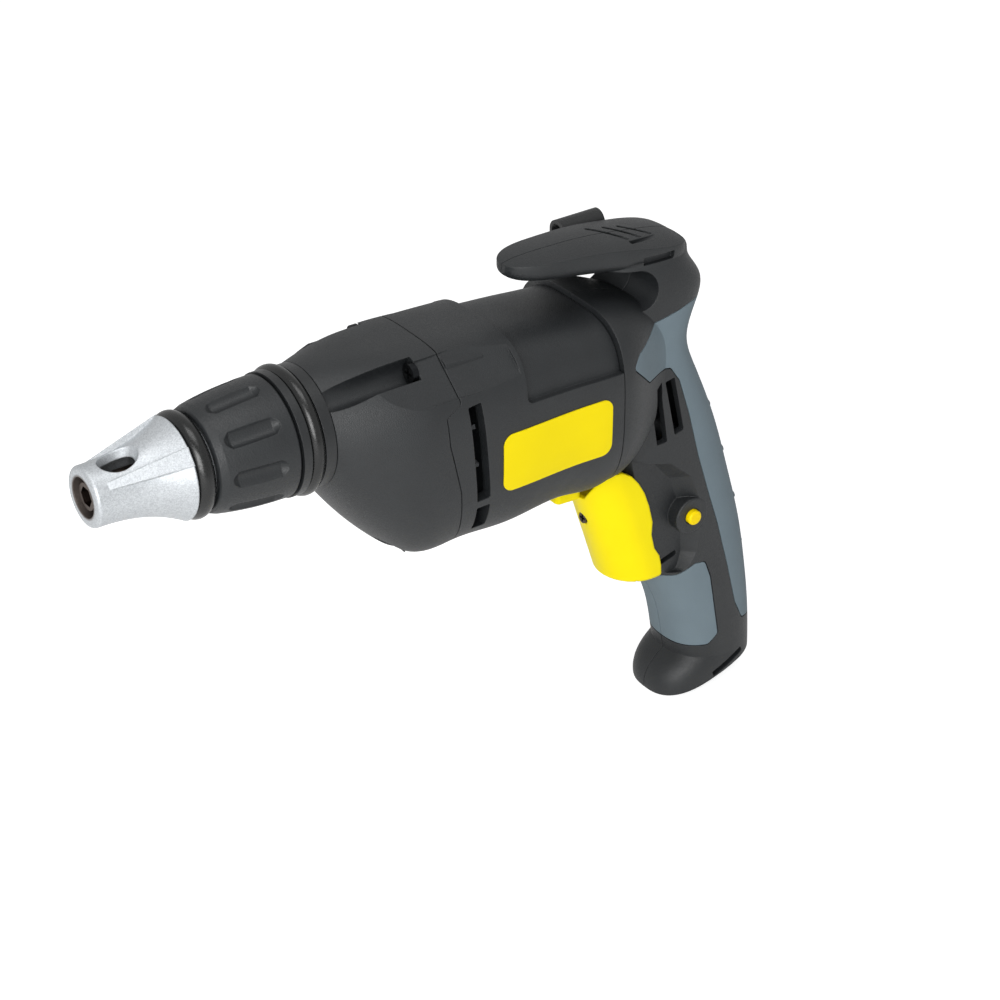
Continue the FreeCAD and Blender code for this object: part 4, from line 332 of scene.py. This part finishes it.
# Belt hook: spring steel strip of 1.5 mm, bent, then powder coated in black with a fine texture.
# The coat has a leather like grain of about 0.7 mm that glitters a little at the bends.
powder_coat = moulded("black_textured_powder_coat", "#131415", "#1D1E1F", rough=0.44, grain_mm=0.7,
                      depth=0.9, edge_mm=0.3)
dress(powder_coat, "belt_hook")

# Floor: a sheet of matt white paper under the tool, which shows white to the camera and keeps a faint shadow.
# Only what the camera, reflections and glass see gets the extra white, so it adds no diffuse light to the tool.
fibre_mm = 2.0
paper_glow = 0.72
mirror_share = 0.55
paper, tree, shader, where = begin("matt_white_paper", Roughness=0.9)
fibres = add(tree, "ShaderNodeTexNoise", [(where, "Vector")], Scale=1000 / fibre_mm, Detail=3.0)
paper_tone = add(tree, "ShaderNodeMix", [(fibres.outputs["Fac"], mix_share)], data_type="RGBA")
paper_tone.inputs[mix_low].default_value = colour("#E6E6E6")
paper_tone.inputs[mix_high].default_value = colour("#EAEAEA")
tree.links.new(paper_tone.outputs[mix_result], shader.inputs["Base Color"])


def seen(tree):
    """One for rays from the camera, the mirror share for reflections and glass, and nought for diffuse light."""
    path = add(tree, "ShaderNodeLightPath")
    mirrored, through = path.outputs["Is Glossy Ray"], path.outputs["Is Transmission Ray"]
    bent = add(tree, "ShaderNodeMath", [(mirrored, 0), (through, 1)], operation="MAXIMUM")
    part = add(tree, "ShaderNodeMath", [(bent.outputs["Value"], 0)], operation="MULTIPLY")
    part.inputs[1].default_value = mirror_share
    whole = add(tree, "ShaderNodeMath",
                [(path.outputs["Is Camera Ray"], 0), (part.outputs["Value"], 1)], operation="MAXIMUM")
    return whole.outputs["Value"]


shader.inputs["Emission Color"].default_value = (1, 1, 1, 1)
paper_white = add(tree, "ShaderNodeMath", [(seen(tree), 0)], operation="MULTIPLY")
paper_white.inputs[1].default_value = paper_glow
tree.links.new(paper_white.outputs["Value"], shader.inputs["Emission Strength"])
half_m = 6.0
low_m = cad_box[0][2]
floor_mesh = bpy.data.meshes.new("floor")
floor_mesh.from_pydata([(-half_m, -half_m, low_m), (half_m, -half_m, low_m), (half_m, half_m, low_m),
                        (-half_m, half_m, low_m)], [], [(0, 1, 2, 3)])
floor_mesh.materials.append(paper)
floor = bpy.data.objects.new("floor", floor_mesh)
bpy.context.scene.collection.objects.link(floor)

# Light: a light tent, with a large box at the front left and a weaker one above.
# The tent is the world, white where it is seen and dimmer where it lights.
tent_lights, tent_seen = 0.22, 1.0
aim_m = Vector((0.15, 0, -0.05))
tent = bpy.data.worlds.new("light_tent")
bpy.context.scene.world = tent
tent.use_nodes = True
tree = tent.node_tree
glow = tree.nodes["Background"]
glow.inputs["Color"].default_value = (1, 1, 1, 1)
brightness = add(tree, "ShaderNodeMapRange", [(seen(tree), "Value")], To_Min=tent_lights, To_Max=tent_seen)
tree.links.new(brightness.outputs["Result"], glow.inputs["Strength"])
for name, place, size, watts in (("front_left_box", (-0.75, -0.95, 0.50), (0.9, 0.9), 18.0),
                                 ("top_box", (0.05, -0.15, 1.20), (0.9, 0.6), 5.0)):
    lamp = bpy.data.lights.new(name, "AREA")
    lamp.shape = "RECTANGLE"
    lamp.size, lamp.size_y = size
    lamp.energy = watts
    box = bpy.data.objects.new(name, lamp)
    box.location = place
    box.rotation_euler = (aim_m - Vector(place)).to_track_quat("-Z", "Y").to_euler()
    bpy.context.scene.collection.objects.link(box)

# Camera: a long lens that looks from the left front and from above.
# Its place, direction and lens are fitted to the straight lines and rings of the tool in the photo.
camera_at_m = (-0.3465, -0.7215, 0.4730)
forward = Vector((0.4978, 0.6978, -0.5150)).normalized()
camera = bpy.data.cameras.new("camera")
camera.lens = 100.8
camera.sensor_width = 36.0
camera.sensor_fit = "HORIZONTAL"
view = bpy.data.objects.new("camera", camera)
turn = forward.to_track_quat("-Z", "Y").to_matrix().to_4x4()
view.matrix_world = Matrix.Translation(camera_at_m) @ turn
bpy.context.scene.collection.objects.link(view)
bpy.context.scene.camera = view
bpy.context.scene.view_settings.view_transform = "Standard"
